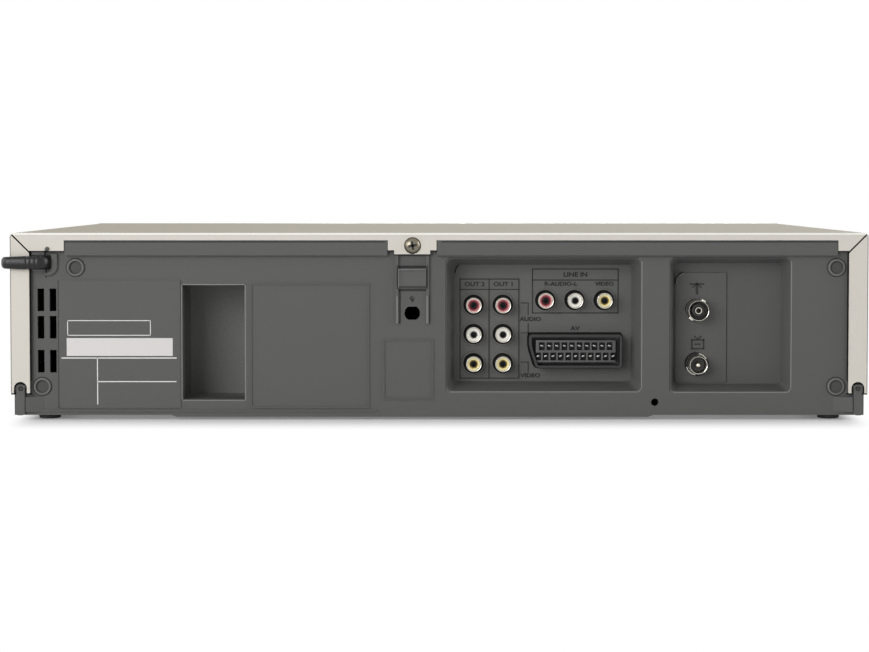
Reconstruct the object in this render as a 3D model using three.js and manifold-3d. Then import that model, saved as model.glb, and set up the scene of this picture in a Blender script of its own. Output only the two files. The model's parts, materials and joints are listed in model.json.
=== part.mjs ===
// A VHS video cassette recorder: folded steel cover, moulded main frame with its rear wall of sockets,
// front with cassette door and buttons, circuit boards, and a tape transport with a front loading carriage.
// Millimetres. +Z is up, the front faces -Y, and the origin is under the middle of the feet.
import * as THREE from "three";
import { mergeVertices } from "three/addons/utils/BufferGeometryUtils.js";
import Module from "manifold-3d";

const wasm = await Module();
wasm.setup();

// Driving sizes of the whole recorder.
const width = 430;
const depth = 300;
const height = 94;
const gap = 0.3; // between two pieces that touch
const overrun = 1; // how far a cutting shape runs past the face that it cuts
const weld = 0.0001; // vertices closer than this are one

// Folded cover of painted steel.
const cover = {
  sheet: 1,
  fold: 2,
  sideBottom: 13.5,
  rearStrip: 3.7,
  sideFlange: 9.5,
  cornerDrop: 9,
  leftTab: 27,
  rightTab: 15,
  centreTab: 24.4,
  centreTabDrop: 8.7,
  tongue: 18,
  tongueDrop: 10.7,
  mitreSlit: 0.6,
  mitreReach: 11.5,
  notchWidth: 6,
  notchTop: 19,
  notchInset: 4.5,
};

// Moulded main frame: floor, side rails and rear wall.
const frame = {
  wall: 2.5,
  faceInset: 2.8, // rear wall's face lies this far inside the cover's rear flange
  rearBottom: 2.3,
  skirtDrop: 1,
  skirtLeft: 135,
  skirtRight: -108,
  skirtSlope: 3,
  floorBottom: 4,
  floor: 2,
  railTop: 24,
  stripBottom: 82.7,
  stripRaise: 2.6,
  lugWidth: 4.6,
  lugTop: 17.8,
  lugRaise: 2.3,
};
const ringBoss = {
  outer: 4.35,
  inner: 3.2,
  raise: 0.8,
  inset: 15.4,
  upper: 76.6,
  lower: 16.7,
  upperLeftInset: 32.4,
};
const vents = { width: 3.4, height: 11.4, inset: 14.8, columnStep: 6.1, rows: [60.3, 46.5, 29.4] };
const ratingPlate = { left: 191, right: 130, bottom: 5.8, top: 70.2, raise: 0.5 };
const pocket = { centre: 113.4, width: 31.2, bottom: 10, top: 67.7, depth: 35, wall: 2 };
const borders = {
  line: 0.7,
  raise: 0.5,
  wide: { left: 94.8, right: 35, bottom: 5.8, top: 68.7 },
  narrow: { left: 28.1, right: 2.8, bottom: 10.1, top: 40.5 },
};
const footRidge = { bottom: 4, top: 4.9, raise: 0.6, left: 202, right: 31 };
const hook = {
  centre: 13.5,
  width: 14,
  bottom: 66.1,
  top: 76,
  raise: 4.2,
  lip: 2.2,
  railSpread: 15.4,
  railWidth: 1.5,
  railRaise: 1.4,
  railBottom: 48.5,
  holeHeight: 53.6,
  holeRadius: 3.95,
  holeFlat: 6.7,
  dotHeight: 61,
  dotRadius: 1.3,
  dotDepth: 0.8,
};
const tinyHole = { x: -108.6, z: 8.7, radius: 2 };

// The recess of the sound and picture sockets, and the one of the aerial sockets.
const avRecess = {
  left: -3.8,
  right: -101.4,
  bottom: 14.3,
  top: 81,
  depth: 16,
  draft: 3.6,
  corner: 3,
  floor: 2,
};
const aerialRecess = {
  left: -116.4,
  right: -176.5,
  bottom: 14.1,
  top: 81.2,
  depth: 13,
  draft: 2.8,
  corner: 2.5,
  floor: 2,
  plateLeft: -120,
  plateRight: -146,
  plateBottom: 18,
  plateTop: 73.5,
  plateRaise: 0.7,
};

// Phono sockets: a black housing, nickel shells on one earth strip, coloured cores on one carrier strip.
const phono = {
  pitch: 14.9,
  shellRadius: 4.15,
  shellWall: 0.6,
  coreBore: 1.6,
  coreBoreDepth: 9,
  coreSink: 0.6,
  reach: 8.8,
  collarRadius: 6,
  collarRaise: 1.2,
  housing: 13.4,
  margin: 7,
  strip: 0.9,
  sides: 10,
};
const outSockets = { x: -25, z: 42.1, columns: 2, rows: 3 };
const inSockets = { x: -69, z: 59.4, columns: 3, rows: 1 };

// The 21-way socket.
const scart = {
  x: -69,
  z: 34.2,
  width: 47.2,
  height: 16.9,
  slant: 3.6,
  wall: 1.4,
  reach: 8,
  cavity: 6.5,
  tongueWidth: 40.6,
  tongueHeight: 12.2,
  tongueSink: 1,
  contactPitch: 3.81,
  contactRows: 5.2,
  contactWidth: 1.5,
  contactHeight: 3.4,
  contactDepth: 4.5,
  topContacts: 10,
  bodyDepth: 14,
  bodyMargin: 1.4,
};

// Aerial sockets on the tuner can.
const tuner = { x: -131, width: 44, back: 74, height: 60, lid: 6, seam: 1, seamDepth: 0.5 };
const aerial = {
  inHeight: 54.6,
  outHeight: 27,
  radius: 4.75,
  wall: 0.7,
  reach: 9.5,
  cup: 7.5,
  pinRadius: 1.9,
  pinBore: 1.1,
  centrePin: 1.15,
  collarRadius: 5.9,
  collar: 2.4,
  sides: 14,
};

// Feet.
const foot = { radius: 5.6, flare: 6.2, chamfer: 0.5, sideInset: 17.5, rearInset: 12, frontInset: 24 };

// Bottom plate.
const bottomPlate = {
  sheet: 1.1,
  margin: 29,
  endInset: 12,
  slotWidth: 3,
  slotLength: 26,
  slotStep: 12,
  slotCount: 4,
  slotRows: [-70, 50],
  slotCentre: 60,
};

// Front panel with its cassette slot and window. The face bulges toward the middle.
const front = {
  depth: 12,
  wall: 3,
  bottom: 4,
  bulge: 2.4,
  topRound: 3,
  ledge: 50,
};
const slot = { x: 0, width: 196, bottom: 53, top: 85, frame: 2 };
const door = { clearance: 0.5, recess: 1.2, thickness: 2.2, hingeRadius: 1.1, pinReach: 1.6 };
const windowSize = { x: 0, width: 150, bottom: 16, top: 44, thickness: 1.8, lip: 2, clearance: 0.3 };

// Buttons: centre x, centre z, width and height; each plunger runs in a guide of the panel.
const button = {
  proud: 1.6,
  travel: 1.5,
  cap: 5.2,
  flange: 1.6,
  flangeThick: 1.2,
  clearance: 0.35,
  round: 1.6,
};
const buttons = {
  power_button: { x: -178, z: 69, width: 22, height: 11 },
  eject_button: { x: 178, z: 76, width: 26, height: 7 },
  rewind_button: { x: 128, z: 60, width: 16, height: 11 },
  play_button: { x: 150, z: 60, width: 20, height: 11 },
  fast_forward_button: { x: 172, z: 60, width: 16, height: 11 },
  stop_button: { x: 194, z: 60, width: 16, height: 11 },
  record_button: { x: 128, z: 76, width: 12, height: 7 },
};
const rocker = { x: 160, z: 30, width: 44, height: 9, depth: 5, pivotRadius: 1.2, clearance: 0.6 };

// Boards and the power supply.
const board = { sheet: 1.6, height: 9, postRadius: 4 };
const mainBoard = { leftInset: 8, right: -204, back: 105, front: -122, postHole: 6.2 };
const frontBoard = {
  bottom: 12,
  ledge: 47,
  top: 82,
  wingInner: 106,
  margin: 7,
  switchSize: 6,
  switchStem: 1.5,
  postRadius: 3,
  postOuter: 200,
  postInner: 112,
  postLow: 20,
  postMiddle: 60,
  postHigh: 78,
};
const supply = {
  x: 163,
  width: 78,
  front: -20,
  back: 100,
  height: 14,
  post: 4,
};
const transformer = {
  x: 150,
  y: 55,
  core: 34,
  stack: 27,
  coreHeight: 27,
  foot: 5,
  legX: 12.2,
  legWidth: 5,
  legDepth: 20,
  bobbin: 22,
  bobbinLength: 37.4,
  sides: 12,
};
const heatsink = { x: 189, y: 30, length: 56, height: 46, web: 2, fin: 11, finThick: 1.4, fins: 5 };
const capacitor = { x: 160, y: 8, radius: 12.5, height: 36, crimp: 0.8, crimpHeight: 6, sides: 16 };

// Tape transport. Its own frame stands on the deck's top, with y measured from the recorder's middle.
const deck = {
  top: 26,
  sheet: 2,
  halfWidth: 108,
  front: -112,
  back: 104,
  post: 5,
  postInset: 9,
  pinPlay: 0.15,
};
const tapeHeight = 24.5; // height of the tape's middle above the deck
const drum = {
  y: 68,
  radius: 31,
  lift: 3.5,
  lower: 20,
  upper: 14,
  slit: 0.5,
  tilt: 5.5,
  foot: 24,
  shaft: 4,
  shaftReach: 8,
  hub: 10,
  cap: 3,
  rim: 5,
  heads: 4,
  headWidth: 3.4,
  headHeight: 1.8,
  headDepth: 1.6,
  sides: 24,
};
const capstan = {
  x: 62,
  y: 44,
  radius: 1.6,
  top: 38,
  bush: 4.6,
  bushTop: 9,
  flange: 15.5,
  flangeThick: 2,
  rotor: 25,
  rotorThick: 3.6,
  rotorDrop: 6,
};
const pinch = {
  pivotX: 88,
  pivotY: 52,
  radius: 6,
  height: 14,
  nip: 0.2,
  nipAngle: -45,
  swing: 30,
  boss: 4,
  arm: 2,
  armHeight: 12,
  pin: 1.2,
  bore: 1.45,
  cap: 2.4,
};
const reel = {
  spread: 92,
  y: -32,
  discRadius: 18,
  gearBottom: 1,
  gearThick: 3,
  disc: 2,
  hub: 9,
  table: 9.4,
  spindle: 6.4,
  spindleTip: 4.5,
  spindleTop: 21,
  wings: 3,
  wingWidth: 2.2,
  wingReach: 8.6,
  wingTop: 19,
  bore: 1.8,
  teeth: 30,
};
const idler = { teeth: 18, angle: 150, hub: 5, bore: 1.8, height: 9 };
const gearTooth = { module: 1.4, tip: 1.2, root: 1.5, rootShare: 0.32, tipShare: 0.12, play: 0.25 };
const cam = {
  x: -84,
  y: 66,
  teeth: 28,
  thick: 5,
  hub: 7,
  bore: 2.2,
  lift: 9,
  trackWidth: 3,
  trackDepth: 1.6,
};
const worm = {
  radius: 5,
  core: 3,
  turns: 3,
  steps: 12,
  rootShare: 0.17,
  tipShare: 0.1,
  shaft: 1,
  neck: 8,
  reach: 4,
};
const motor = {
  radius: 11,
  length: 26,
  boss: 3.5,
  bossLength: 2,
  base: 3,
  baseWidth: 18,
  bore: 1.3,
  sides: 20,
};
const guide = {
  startX: 30,
  startY: 10,
  endX: 46,
  endY: 62,
  base: 6,
  baseThick: 4,
  stem: 2.2,
  washer: 4,
  washerThick: 1.2,
  slotPlay: 0.4,
  post: 1.4,
  roller: 3,
  rollerHeight: 15,
  flange: 3.9,
  flangeThick: 1.5,
};
const audioHead = {
  x: 56,
  y: 26,
  width: 12,
  depth: 8,
  height: 19,
  plate: 15,
  plateThick: 2,
  post: 3,
  turn: -35,
};
const eraseHead = {
  x: -66,
  y: 20,
  width: 9,
  depth: 7,
  height: 16,
  plate: 13,
  plateThick: 2,
  post: 3,
  turn: 30,
};
const holder = {
  sheet: 1.2,
  halfWidth: 96.5,
  front: -114,
  length: 80,
  bottom: 27.6,
  top: 57.8,
  lip: 15,
  stopWidth: 20,
  stopDrop: 3.5,
  topCut: 120,
  topCutDepth: 44,
  pinRadius: 1.5,
  pinHeight: 50,
  pinInset: 8,
};
const yoke = {
  sheet: 2,
  play: 0.6,
  slide: 60,
  drop: 20,
  bottom: 19,
  top: 60,
  bar: 12,
  teeth: 13,
  toothHeight: 2.4,
  pinRadius: 1.6,
  pinHeight: 24.4,
  pinSpread: 60,
  slotPlay: 0.4,
};
const carriage = { sheet: 1.5, play: 0.5, front: -124, back: 40, bridge: 14, foot: 6, footSheet: 1.5 };

// Mains lead: bends round the rear corner, sags down the side, runs forward on the floor and coils up.
const lead = {
  radius: 2.2,
  sleeveHigh: 3.4,
  sleeveThick: 2.15,
  exitX: 196.4,
  exitZ: 79.1,
  anchorDepth: 9,
  anchor: 5,
  firstBend: 5,
  bend: 2.6,
  sleeveEnd: 13,
  sides: 8,
  steps: 52,
  reliefSides: 12,
  ribs: 3,
  ribStep: 3.2,
  ribWidth: 1.2,
  ribDepth: 0.5,
};
const coil = {
  x: 234,
  y: -196,
  inner: 22.8,
  spacing: 4.9,
  turns: 3,
  steps: 20,
  sides: 6,
  climb: 0.5,
  straight: 5.3,
};
const coilTail = [
  [0, -6, 0],
  [0, -12, -0.2],
  [0, -19, -0.9],
  [0, -25, -1.35],
  [0, -30, -1.35],
];
// The free run of the lead, from the sleeve's end to the coil, chosen by hand.
const leadRoute = [
  [217.6, 122, 77.6],
  [218.2, 100, 68],
  [219.5, 78, 48],
  [221, 58, 27],
  [222.6, 34, 10],
  [223.6, 6, 3.4],
  [224, -30, 2.5],
  [224, -80, 2.5],
  [223.8, -120, 2.5],
  [222, -145, 2.6],
  [212.6, -161, 3],
  [202.6, -172, 3.4],
  [197.4, -182, 3.45],
  [196.5, -187.5, 3.45],
];
const tie = { width: 6, thick: 0.9, play: 0.35, round: 1.2 };
const plug = {
  length: 30,
  width: 26,
  thick: 14,
  noseWidth: 10,
  noseThick: 8,
  noseLength: 14,
  round: 3,
  pinRadius: 2,
  pinLength: 19,
  pinSpread: 18.6,
};

// Colours, roughness and metalness of each kind of surface.
const finish = {
  coverPaint: { color: 0xddd7cc, roughness: 0.42, metalness: 0.1 },
  framePlastic: { color: 0x616366, roughness: 0.62, metalness: 0 },
  blackPlastic: { color: 0x1c1c1d, roughness: 0.5, metalness: 0 },
  coreRed: { color: 0xc8443c, roughness: 0.4, metalness: 0 },
  nickel: { color: 0xc9c6bd, roughness: 0.25, metalness: 1 },
  steel: { color: 0xb4b6b8, roughness: 0.35, metalness: 0.9 },
  zinc: { color: 0x9fa3a6, roughness: 0.45, metalness: 0.8 },
  rubber: { color: 0x161616, roughness: 0.85, metalness: 0 },
  frontPlastic: { color: 0xc9c7c0, roughness: 0.4, metalness: 0.1 },
  smoke: { color: 0x15171a, roughness: 0.12, metalness: 0 },
  circuit: { color: 0x8a6d3b, roughness: 0.6, metalness: 0 },
  whitePlastic: { color: 0xdcdad2, roughness: 0.5, metalness: 0 },
  ferrite: { color: 0x3a3a3c, roughness: 0.7, metalness: 0 },
  aluminium: { color: 0xc2c5c8, roughness: 0.3, metalness: 0.95 },
  sleeve: { color: 0x22252c, roughness: 0.45, metalness: 0 },
  brass: { color: 0xb59a55, roughness: 0.35, metalness: 0.9 },
};

// Solids from closed geometries, and back.
function toSolid(geometry) {
  const bare = geometry.index ? geometry.toNonIndexed() : geometry.clone();
  bare.deleteAttribute("normal");
  bare.deleteAttribute("uv");
  const merged = mergeVertices(bare, weld);
  return new wasm.Manifold(
    new wasm.Mesh({
      numProp: 3,
      vertProperties: merged.attributes.position.array,
      triVerts: new Uint32Array(merged.index.array),
    }),
  );
}

function toGeometry(solid) {
  const { numProp, vertProperties, triVerts } = solid.getMesh();
  const geometry = new THREE.BufferGeometry();
  geometry.setAttribute("position", new THREE.BufferAttribute(new Float32Array(vertProperties), numProp));
  geometry.setIndex(new THREE.BufferAttribute(new Uint32Array(triVerts), 1));
  const faceted = geometry.toNonIndexed();
  faceted.computeVertexNormals();
  return faceted;
}

const join = (...solids) => solids.reduce((sum, next) => sum.add(next));
const cut = (solid, ...tools) => tools.reduce((left, tool) => left.subtract(tool), solid);
const around = (centre, size) => [centre - size / 2, centre + size / 2];
const radians = THREE.MathUtils.degToRad;

// A box between two limits on each axis.
function slab([x0, x1], [y0, y1], [z0, z1]) {
  const box = new THREE.BoxGeometry(x1 - x0, y1 - y0, z1 - z0);
  box.translate((x0 + x1) / 2, (y0 + y1) / 2, (z0 + z1) / 2);
  return toSolid(box);
}

// A geometry built along +Z, turned so that it runs along the named axis.
// Its own x and y then lie along y and z for axis x, x and z for axis y, x and y for axis z.
const turned = {
  x: new THREE.Matrix4().set(0, 0, 1, 0, 1, 0, 0, 0, 0, 1, 0, 0, 0, 0, 0, 1),
  y: new THREE.Matrix4().set(1, 0, 0, 0, 0, 0, -1, 0, 0, 1, 0, 0, 0, 0, 0, 1),
  z: new THREE.Matrix4(),
};

// Points along a shape's outline, without the ones that fall together where an arc meets a line.
function outlinePoints(shape, curveSegments) {
  const points = shape.getPoints(curveSegments);
  return points.filter((point, i) => point.distanceTo(points[(i + 1) % points.length]) > weld);
}

// A shape pushed along an axis between two limits.
function prism(shape, axis, [from, to], curveSegments = 1) {
  const section = new THREE.Shape(outlinePoints(shape, curveSegments));
  const body = new THREE.ExtrudeGeometry(section, { depth: to - from, bevelEnabled: false });
  body.translate(0, 0, axis === "y" ? -to : from);
  return toSolid(body.applyMatrix4(turned[axis]));
}

// A round rod, or a cone where two radii are given, along an axis between two limits.
function rod(axis, radius, [from, to], [u, v] = [0, 0], sides = 24, endRadius = radius) {
  const flip = axis === "y";
  const [top, bottom] = flip ? [radius, endRadius] : [endRadius, radius];
  const body = new THREE.CylinderGeometry(top, bottom, to - from, sides);
  body.rotateX(Math.PI / 2);
  body.translate(u, v, flip ? -(from + to) / 2 : (from + to) / 2);
  return toSolid(body.applyMatrix4(turned[axis]));
}

const ring = (axis, outer, inner, [from, to], centre, sides) =>
  cut(
    rod(axis, outer, [from, to], centre, sides),
    rod(axis, inner, [from - overrun, to + overrun], centre, sides),
  );

// A profile of [radius, height] points turned about the Z axis.
function revolve(profile, sides = 24) {
  const lathe = new THREE.LatheGeometry(profile.map(([r, h]) => new THREE.Vector2(r, h)), sides);
  return toSolid(lathe.rotateX(Math.PI / 2));
}

function roundRect([u0, u1], [v0, v1], r) {
  const shape = new THREE.Shape();
  shape.moveTo(u0 + r, v0);
  shape.lineTo(u1 - r, v0);
  shape.absarc(u1 - r, v0 + r, r, -Math.PI / 2, 0);
  shape.lineTo(u1, v1 - r);
  shape.absarc(u1 - r, v1 - r, r, 0, Math.PI / 2);
  shape.lineTo(u0 + r, v1);
  shape.absarc(u0 + r, v1 - r, r, Math.PI / 2, Math.PI);
  shape.lineTo(u0, v0 + r);
  shape.absarc(u0 + r, v0 + r, r, Math.PI, Math.PI * 1.5);
  return shape;
}

const outline = (...points) => new THREE.Shape(points.map(([u, v]) => new THREE.Vector2(u, v)));

// A body whose section changes from one shape to another of as many points.
function loft(shapeFrom, shapeTo, axis, [from, to], curveSegments = 2) {
  const rings = [shapeFrom, shapeTo].map((shape) => outlinePoints(shape, curveSegments));
  const count = rings[0].length;
  const flip = axis === "y" ? -1 : 1;
  const positions = [
    ...rings[0].flatMap((p) => [p.x, p.y, flip * from]),
    ...rings[1].flatMap((p) => [p.x, p.y, flip * to]),
  ];
  const faces = [];
  for (let i = 0; i < count; i++) {
    const j = (i + 1) % count;
    faces.push(i, j, count + j, i, count + j, count + i);
  }
  for (const [a, b, c] of THREE.ShapeUtils.triangulateShape(rings[0], [])) {
    faces.push(a, c, b);
  }
  for (const [a, b, c] of THREE.ShapeUtils.triangulateShape(rings[1], [])) {
    faces.push(count + a, count + b, count + c);
  }
  if (flip < 0) {
    for (let i = 0; i < faces.length; i += 3) [faces[i + 1], faces[i + 2]] = [faces[i + 2], faces[i + 1]];
  }
  const body = new THREE.BufferGeometry();
  body.setAttribute("position", new THREE.Float32BufferAttribute(positions, 3));
  body.setIndex(faces);
  return toSolid(body.applyMatrix4(turned[axis]));
}

const pitchRadiusOf = (teeth) => (teeth * gearTooth.module) / 2;

// A spur gear of trapezoid teeth about the Z axis; phase is in teeth.
function gear(teeth, [from, to], phase = 0) {
  const pitchRadius = pitchRadiusOf(teeth);
  const step = (Math.PI * 2) / teeth;
  const points = [];
  for (let i = 0; i < teeth; i++) {
    const middle = (i + phase) * step;
    for (const [radius, share] of [
      [pitchRadius - gearTooth.root, -gearTooth.rootShare],
      [pitchRadius + gearTooth.tip, -gearTooth.tipShare],
      [pitchRadius + gearTooth.tip, gearTooth.tipShare],
      [pitchRadius - gearTooth.root, gearTooth.rootShare],
    ]) {
      const angle = middle + share * step;
      points.push(new THREE.Vector2(radius * Math.cos(angle), radius * Math.sin(angle)));
    }
  }
  return prism(new THREE.Shape(points), "z", [from, to]);
}

// The named group tree and its meshes.
const recorder = new THREE.Group();
const addGroup = (parent, position = [0, 0, 0]) => {
  const group = new THREE.Group();
  group.position.set(...position);
  parent.add(group);
  return group;
};
const caseGroup = addGroup(recorder);
const frontGroup = addGroup(recorder);
const rearGroup = addGroup(recorder);
const boardGroup = addGroup(recorder);
const leadGroup = addGroup(recorder);
const transport = addGroup(recorder, [0, 0, deck.top]);

function addPiece(group, name, solid, surface, position = [0, 0, 0], rotation = [0, 0, 0]) {
  const mesh = new THREE.Mesh(toGeometry(solid), new THREE.MeshStandardMaterial(surface));
  mesh.name = name;
  mesh.position.set(...position);
  mesh.rotation.set(...rotation);
  group.add(mesh);
  return mesh;
}

// Places that several pieces share.
const half = width / 2;
const rearPlane = depth / 2;
const frontPlane = -depth / 2;
const coverUnderside = height - cover.sheet;
const wallFace = rearPlane - frame.faceInset;
const wallInner = wallFace - frame.wall;
const frameHalf = half - cover.sheet - gap;
const frameTop = coverUnderside - gap;
const floorTop = frame.floorBottom + frame.floor;
const panelBack = frontPlane + front.depth;
const boardTop = board.height + board.sheet;
const avFloor = wallFace - avRecess.depth;
const avFloorInner = avFloor - avRecess.floor;
const aerialFloor = wallFace - aerialRecess.depth;
const aerialFloorInner = aerialFloor - aerialRecess.floor;
const deckBottom = deck.top - deck.sheet;
const deckPosts = [
  [-1, deck.front + deck.postInset],
  [1, deck.front + deck.postInset],
  [-1, deck.back - deck.postInset],
  [1, deck.back - deck.postInset],
].map(([side, y]) => [side * (deck.halfWidth - deck.postInset), y]);
const boardPosts = [
  [mainBoard.right + board.postRadius * 2, mainBoard.front + board.postRadius * 2],
  [half - mainBoard.leftInset - board.postRadius * 2, mainBoard.front + board.postRadius * 2],
  [mainBoard.right + board.postRadius * 2, (mainBoard.front + mainBoard.back) / 2],
  [supply.x - supply.width / 2 - board.postRadius * 2, mainBoard.back - board.postRadius * 2],
];

// A drafted recess: the body that backs it, and the space that is cut out of it.
function recessShapes(r) {
  const mouth = roundRect([r.right, r.left], [r.bottom, r.top], r.corner);
  const bed = roundRect(
    [r.right + r.draft, r.left - r.draft],
    [r.bottom + r.draft, r.top - r.draft],
    r.corner,
  );
  const backMouth = roundRect(
    [r.right - r.floor, r.left + r.floor],
    [r.bottom - r.floor, r.top + r.floor],
    r.corner,
  );
  const backBed = roundRect(
    [r.right + r.draft - r.floor, r.left - r.draft + r.floor],
    [r.bottom + r.draft - r.floor, r.top - r.draft + r.floor],
    r.corner,
  );
  const bedFace = wallFace - r.depth;
  return {
    back: loft(backBed, backMouth, "y", [bedFace - r.floor, wallInner + weld]),
    space: join(
      loft(bed, mouth, "y", [bedFace, wallFace]),
      prism(mouth, "y", [wallFace, wallFace + overrun]),
    ),
  };
}

// Main frame.
function buildFrame() {
  const across = [-frameHalf, frameHalf];
  const inside = [-frameHalf + frame.wall, frameHalf - frame.wall];
  const run = [panelBack + gap, wallFace];
  const rearWall = slab(across, [wallInner, wallFace], [frame.rearBottom, frameTop]);
  const skirt = prism(
    outline(
      [frame.skirtLeft, frame.rearBottom],
      [frame.skirtLeft - frame.skirtSlope, frame.rearBottom - frame.skirtDrop],
      [frame.skirtRight + frame.skirtSlope, frame.rearBottom - frame.skirtDrop],
      [frame.skirtRight, frame.rearBottom],
      [frame.skirtRight, frame.floorBottom],
      [frame.skirtLeft, frame.floorBottom],
    ),
    "y",
    [wallInner, wallFace],
  );
  const tray = cut(
    slab(across, run, [frame.rearBottom, frame.railTop]),
    slab(inside, [run[0] - overrun, wallInner], [floorTop, frame.railTop + overrun]),
    slab(inside, [run[0] - overrun, wallInner], [frame.rearBottom - overrun, frame.floorBottom]),
  );
  let body = join(rearWall, skirt, tray);

  // Posts under the main board, under the tape deck and under the power supply.
  for (const [x, y] of boardPosts) {
    body = body.add(rod("z", board.postRadius, [frame.floorBottom, board.height - gap], [x, y], 8));
  }
  for (const [x, y] of deckPosts) {
    body = body.add(rod("z", deck.post, [frame.floorBottom, deckBottom - gap], [x, y], 8));
  }
  for (const side of [-1, 1]) {
    for (const y of [supply.front, supply.back]) {
      const inward = y === supply.front ? supply.post : -supply.post;
      const x = supply.x + side * (supply.width / 2 - supply.post);
      body = body.add(rod("z", supply.post, [frame.floorBottom, supply.height - gap], [x, y + inward], 8));
    }
  }

  // The raised strip under the cover's edge, left out where the cover's tabs lie on the wall.
  const strip = [frame.stripBottom, height - cover.rearStrip - gap];
  const stripDepth = [wallFace - weld, wallFace + frame.stripRaise];
  body = join(
    body,
    slab([hook.centre + cover.centreTab / 2 + gap, half - cover.leftTab - gap], stripDepth, strip),
    slab([-half + cover.rightTab + gap, hook.centre - cover.centreTab / 2 - gap], stripDepth, strip),
  );

  // Ring bosses in the corners, and lugs in the notches of the cover's side flanges.
  const bosses = [
    [half - ringBoss.upperLeftInset, ringBoss.upper],
    [half - ringBoss.inset, ringBoss.lower],
    [-half + ringBoss.inset, ringBoss.upper],
    [-half + ringBoss.inset, ringBoss.lower],
  ];
  for (const boss of bosses) {
    body = body.add(
      ring("y", ringBoss.outer, ringBoss.inner, [wallFace - weld, wallFace + ringBoss.raise], boss, 12),
    );
  }
  for (const side of [-1, 1]) {
    const lug = side * (half - cover.notchInset);
    const lugSpan = around(lug, frame.lugWidth);
    body = body.add(
      prism(
        roundRect(lugSpan, [frame.rearBottom, frame.lugTop], frame.lugWidth / 4),
        "y",
        [wallFace - weld, wallFace + frame.lugRaise],
      ).intersect(slab(across, [wallInner, rearPlane], [frame.rearBottom, height])),
    );
  }

  // Rating plate, embossed borders and the ridge below them.
  const plate = slab(
    [ratingPlate.right, ratingPlate.left],
    [wallFace - weld, wallFace + ratingPlate.raise],
    [ratingPlate.bottom, ratingPlate.top],
  );
  body = body.add(plate);
  for (const { left, right, bottom, top } of [borders.wide, borders.narrow]) {
    body = body.add(
      cut(
        slab([right, left], [wallFace - weld, wallFace + borders.raise], [bottom, top]),
        slab(
          [right + borders.line, left - borders.line],
          [wallFace - overrun, wallFace + overrun],
          [bottom + borders.line, top - borders.line],
        ),
      ),
    );
  }
  body = body.add(
    slab(
      [footRidge.right, footRidge.left],
      [wallFace - weld, wallFace + footRidge.raise],
      [footRidge.bottom, footRidge.top],
    ),
  );

  // Centre hook with its two rails; the wall behind the cover's tongue keeps clear of it.
  const hookProfile = outline(
    [wallFace - weld, hook.bottom],
    [wallFace + hook.raise, hook.bottom + hook.lip],
    [wallFace + hook.raise, hook.top],
    [wallFace - weld, hook.top],
  );
  const hookBlock = prism(hookProfile, "x", around(hook.centre, hook.width)).intersect(
    slab(across, [wallInner, rearPlane - gap], [frame.rearBottom, height]),
  );
  body = body.add(hookBlock);
  for (const side of [-1, 1]) {
    body = body.add(
      slab(
        around(hook.centre + (side * hook.railSpread) / 2, hook.railWidth),
        [wallFace - weld, wallFace + hook.railRaise],
        [hook.railBottom, height - cover.tongueDrop - gap],
      ),
    );
  }

  // The pocket, and the two socket recesses.
  const pocketX = around(pocket.centre, pocket.width);
  const pocketBack = slab(
    [pocketX[0] - pocket.wall, pocketX[1] + pocket.wall],
    [wallFace - pocket.depth - pocket.wall, wallInner + weld],
    [pocket.bottom - pocket.wall, pocket.top + pocket.wall],
  );
  const av = recessShapes(avRecess);
  const rf = recessShapes(aerialRecess);
  body = join(body, pocketBack, av.back, rf.back);
  body = cut(
    body,
    slab(pocketX, [wallFace - pocket.depth, wallFace + overrun], [pocket.bottom, pocket.top]),
    av.space,
    rf.space,
  );
  body = body.add(
    slab(
      [aerialRecess.plateRight, aerialRecess.plateLeft],
      [aerialFloorInner, aerialFloor + aerialRecess.plateRaise],
      [aerialRecess.plateBottom, aerialRecess.plateTop],
    ),
  );

  // Everything that passes through the wall.
  const through = [wallInner - overrun, wallFace + frame.stripRaise + overrun];
  const holes = [];
  for (const column of [0, 1]) {
    const x = half - vents.inset - column * vents.columnStep;
    for (const z of vents.rows) {
      holes.push(slab(around(x, vents.width), through, around(z, vents.height)));
    }
  }
  holes.push(
    rod("y", hook.holeRadius, through, [hook.centre, hook.holeHeight], 16).intersect(
      slab(across, through, around(hook.holeHeight, hook.holeFlat)),
    ),
  );
  const dotSpan = [wallFace - hook.dotDepth, through[1]];
  holes.push(rod("y", hook.dotRadius, dotSpan, [hook.centre, hook.dotHeight], 8));
  holes.push(rod("y", tinyHole.radius, through, [tinyHole.x, tinyHole.z], 8));
  holes.push(rod("y", lead.sleeveHigh + gap, through, [lead.exitX, lead.exitZ], 12));
  const floorCut = [avFloorInner - overrun, avFloor + overrun];
  for (const block of [outSockets, inSockets]) {
    for (const [x, z] of socketPlaces(block)) {
      holes.push(rod("y", phono.collarRadius + gap, floorCut, [x, z], phono.sides));
    }
  }
  holes.push(prism(scartShape(gap), "y", floorCut));
  for (const z of [aerial.inHeight, aerial.outHeight]) {
    holes.push(
      rod("y", aerial.collarRadius + gap, [aerialFloorInner - overrun, wallFace], [tuner.x, z], aerial.sides),
    );
  }
  return cut(body, ...holes);
}

// Centres of a socket block's sockets, row by row.
function socketPlaces({ x, z, columns, rows }) {
  const places = [];
  for (let row = 0; row < rows; row++) {
    for (let column = 0; column < columns; column++) {
      places.push([
        x + (column - (columns - 1) / 2) * phono.pitch,
        z + (row - (rows - 1) / 2) * phono.pitch,
      ]);
    }
  }
  return places;
}

// Outline of the 21-way socket's shell, grown by a margin: one lower corner is slanted.
function scartShape(grow) {
  const left = scart.x + scart.width / 2 + grow;
  const right = scart.x - scart.width / 2 - grow;
  const bottom = scart.z - scart.height / 2 - grow;
  const top = scart.z + scart.height / 2 + grow;
  return outline(
    [right, bottom],
    [left - scart.slant, bottom],
    [left - scart.slant / 4, scart.z],
    [left, top - scart.slant],
    [left, top],
    [right, top],
  );
}

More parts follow.
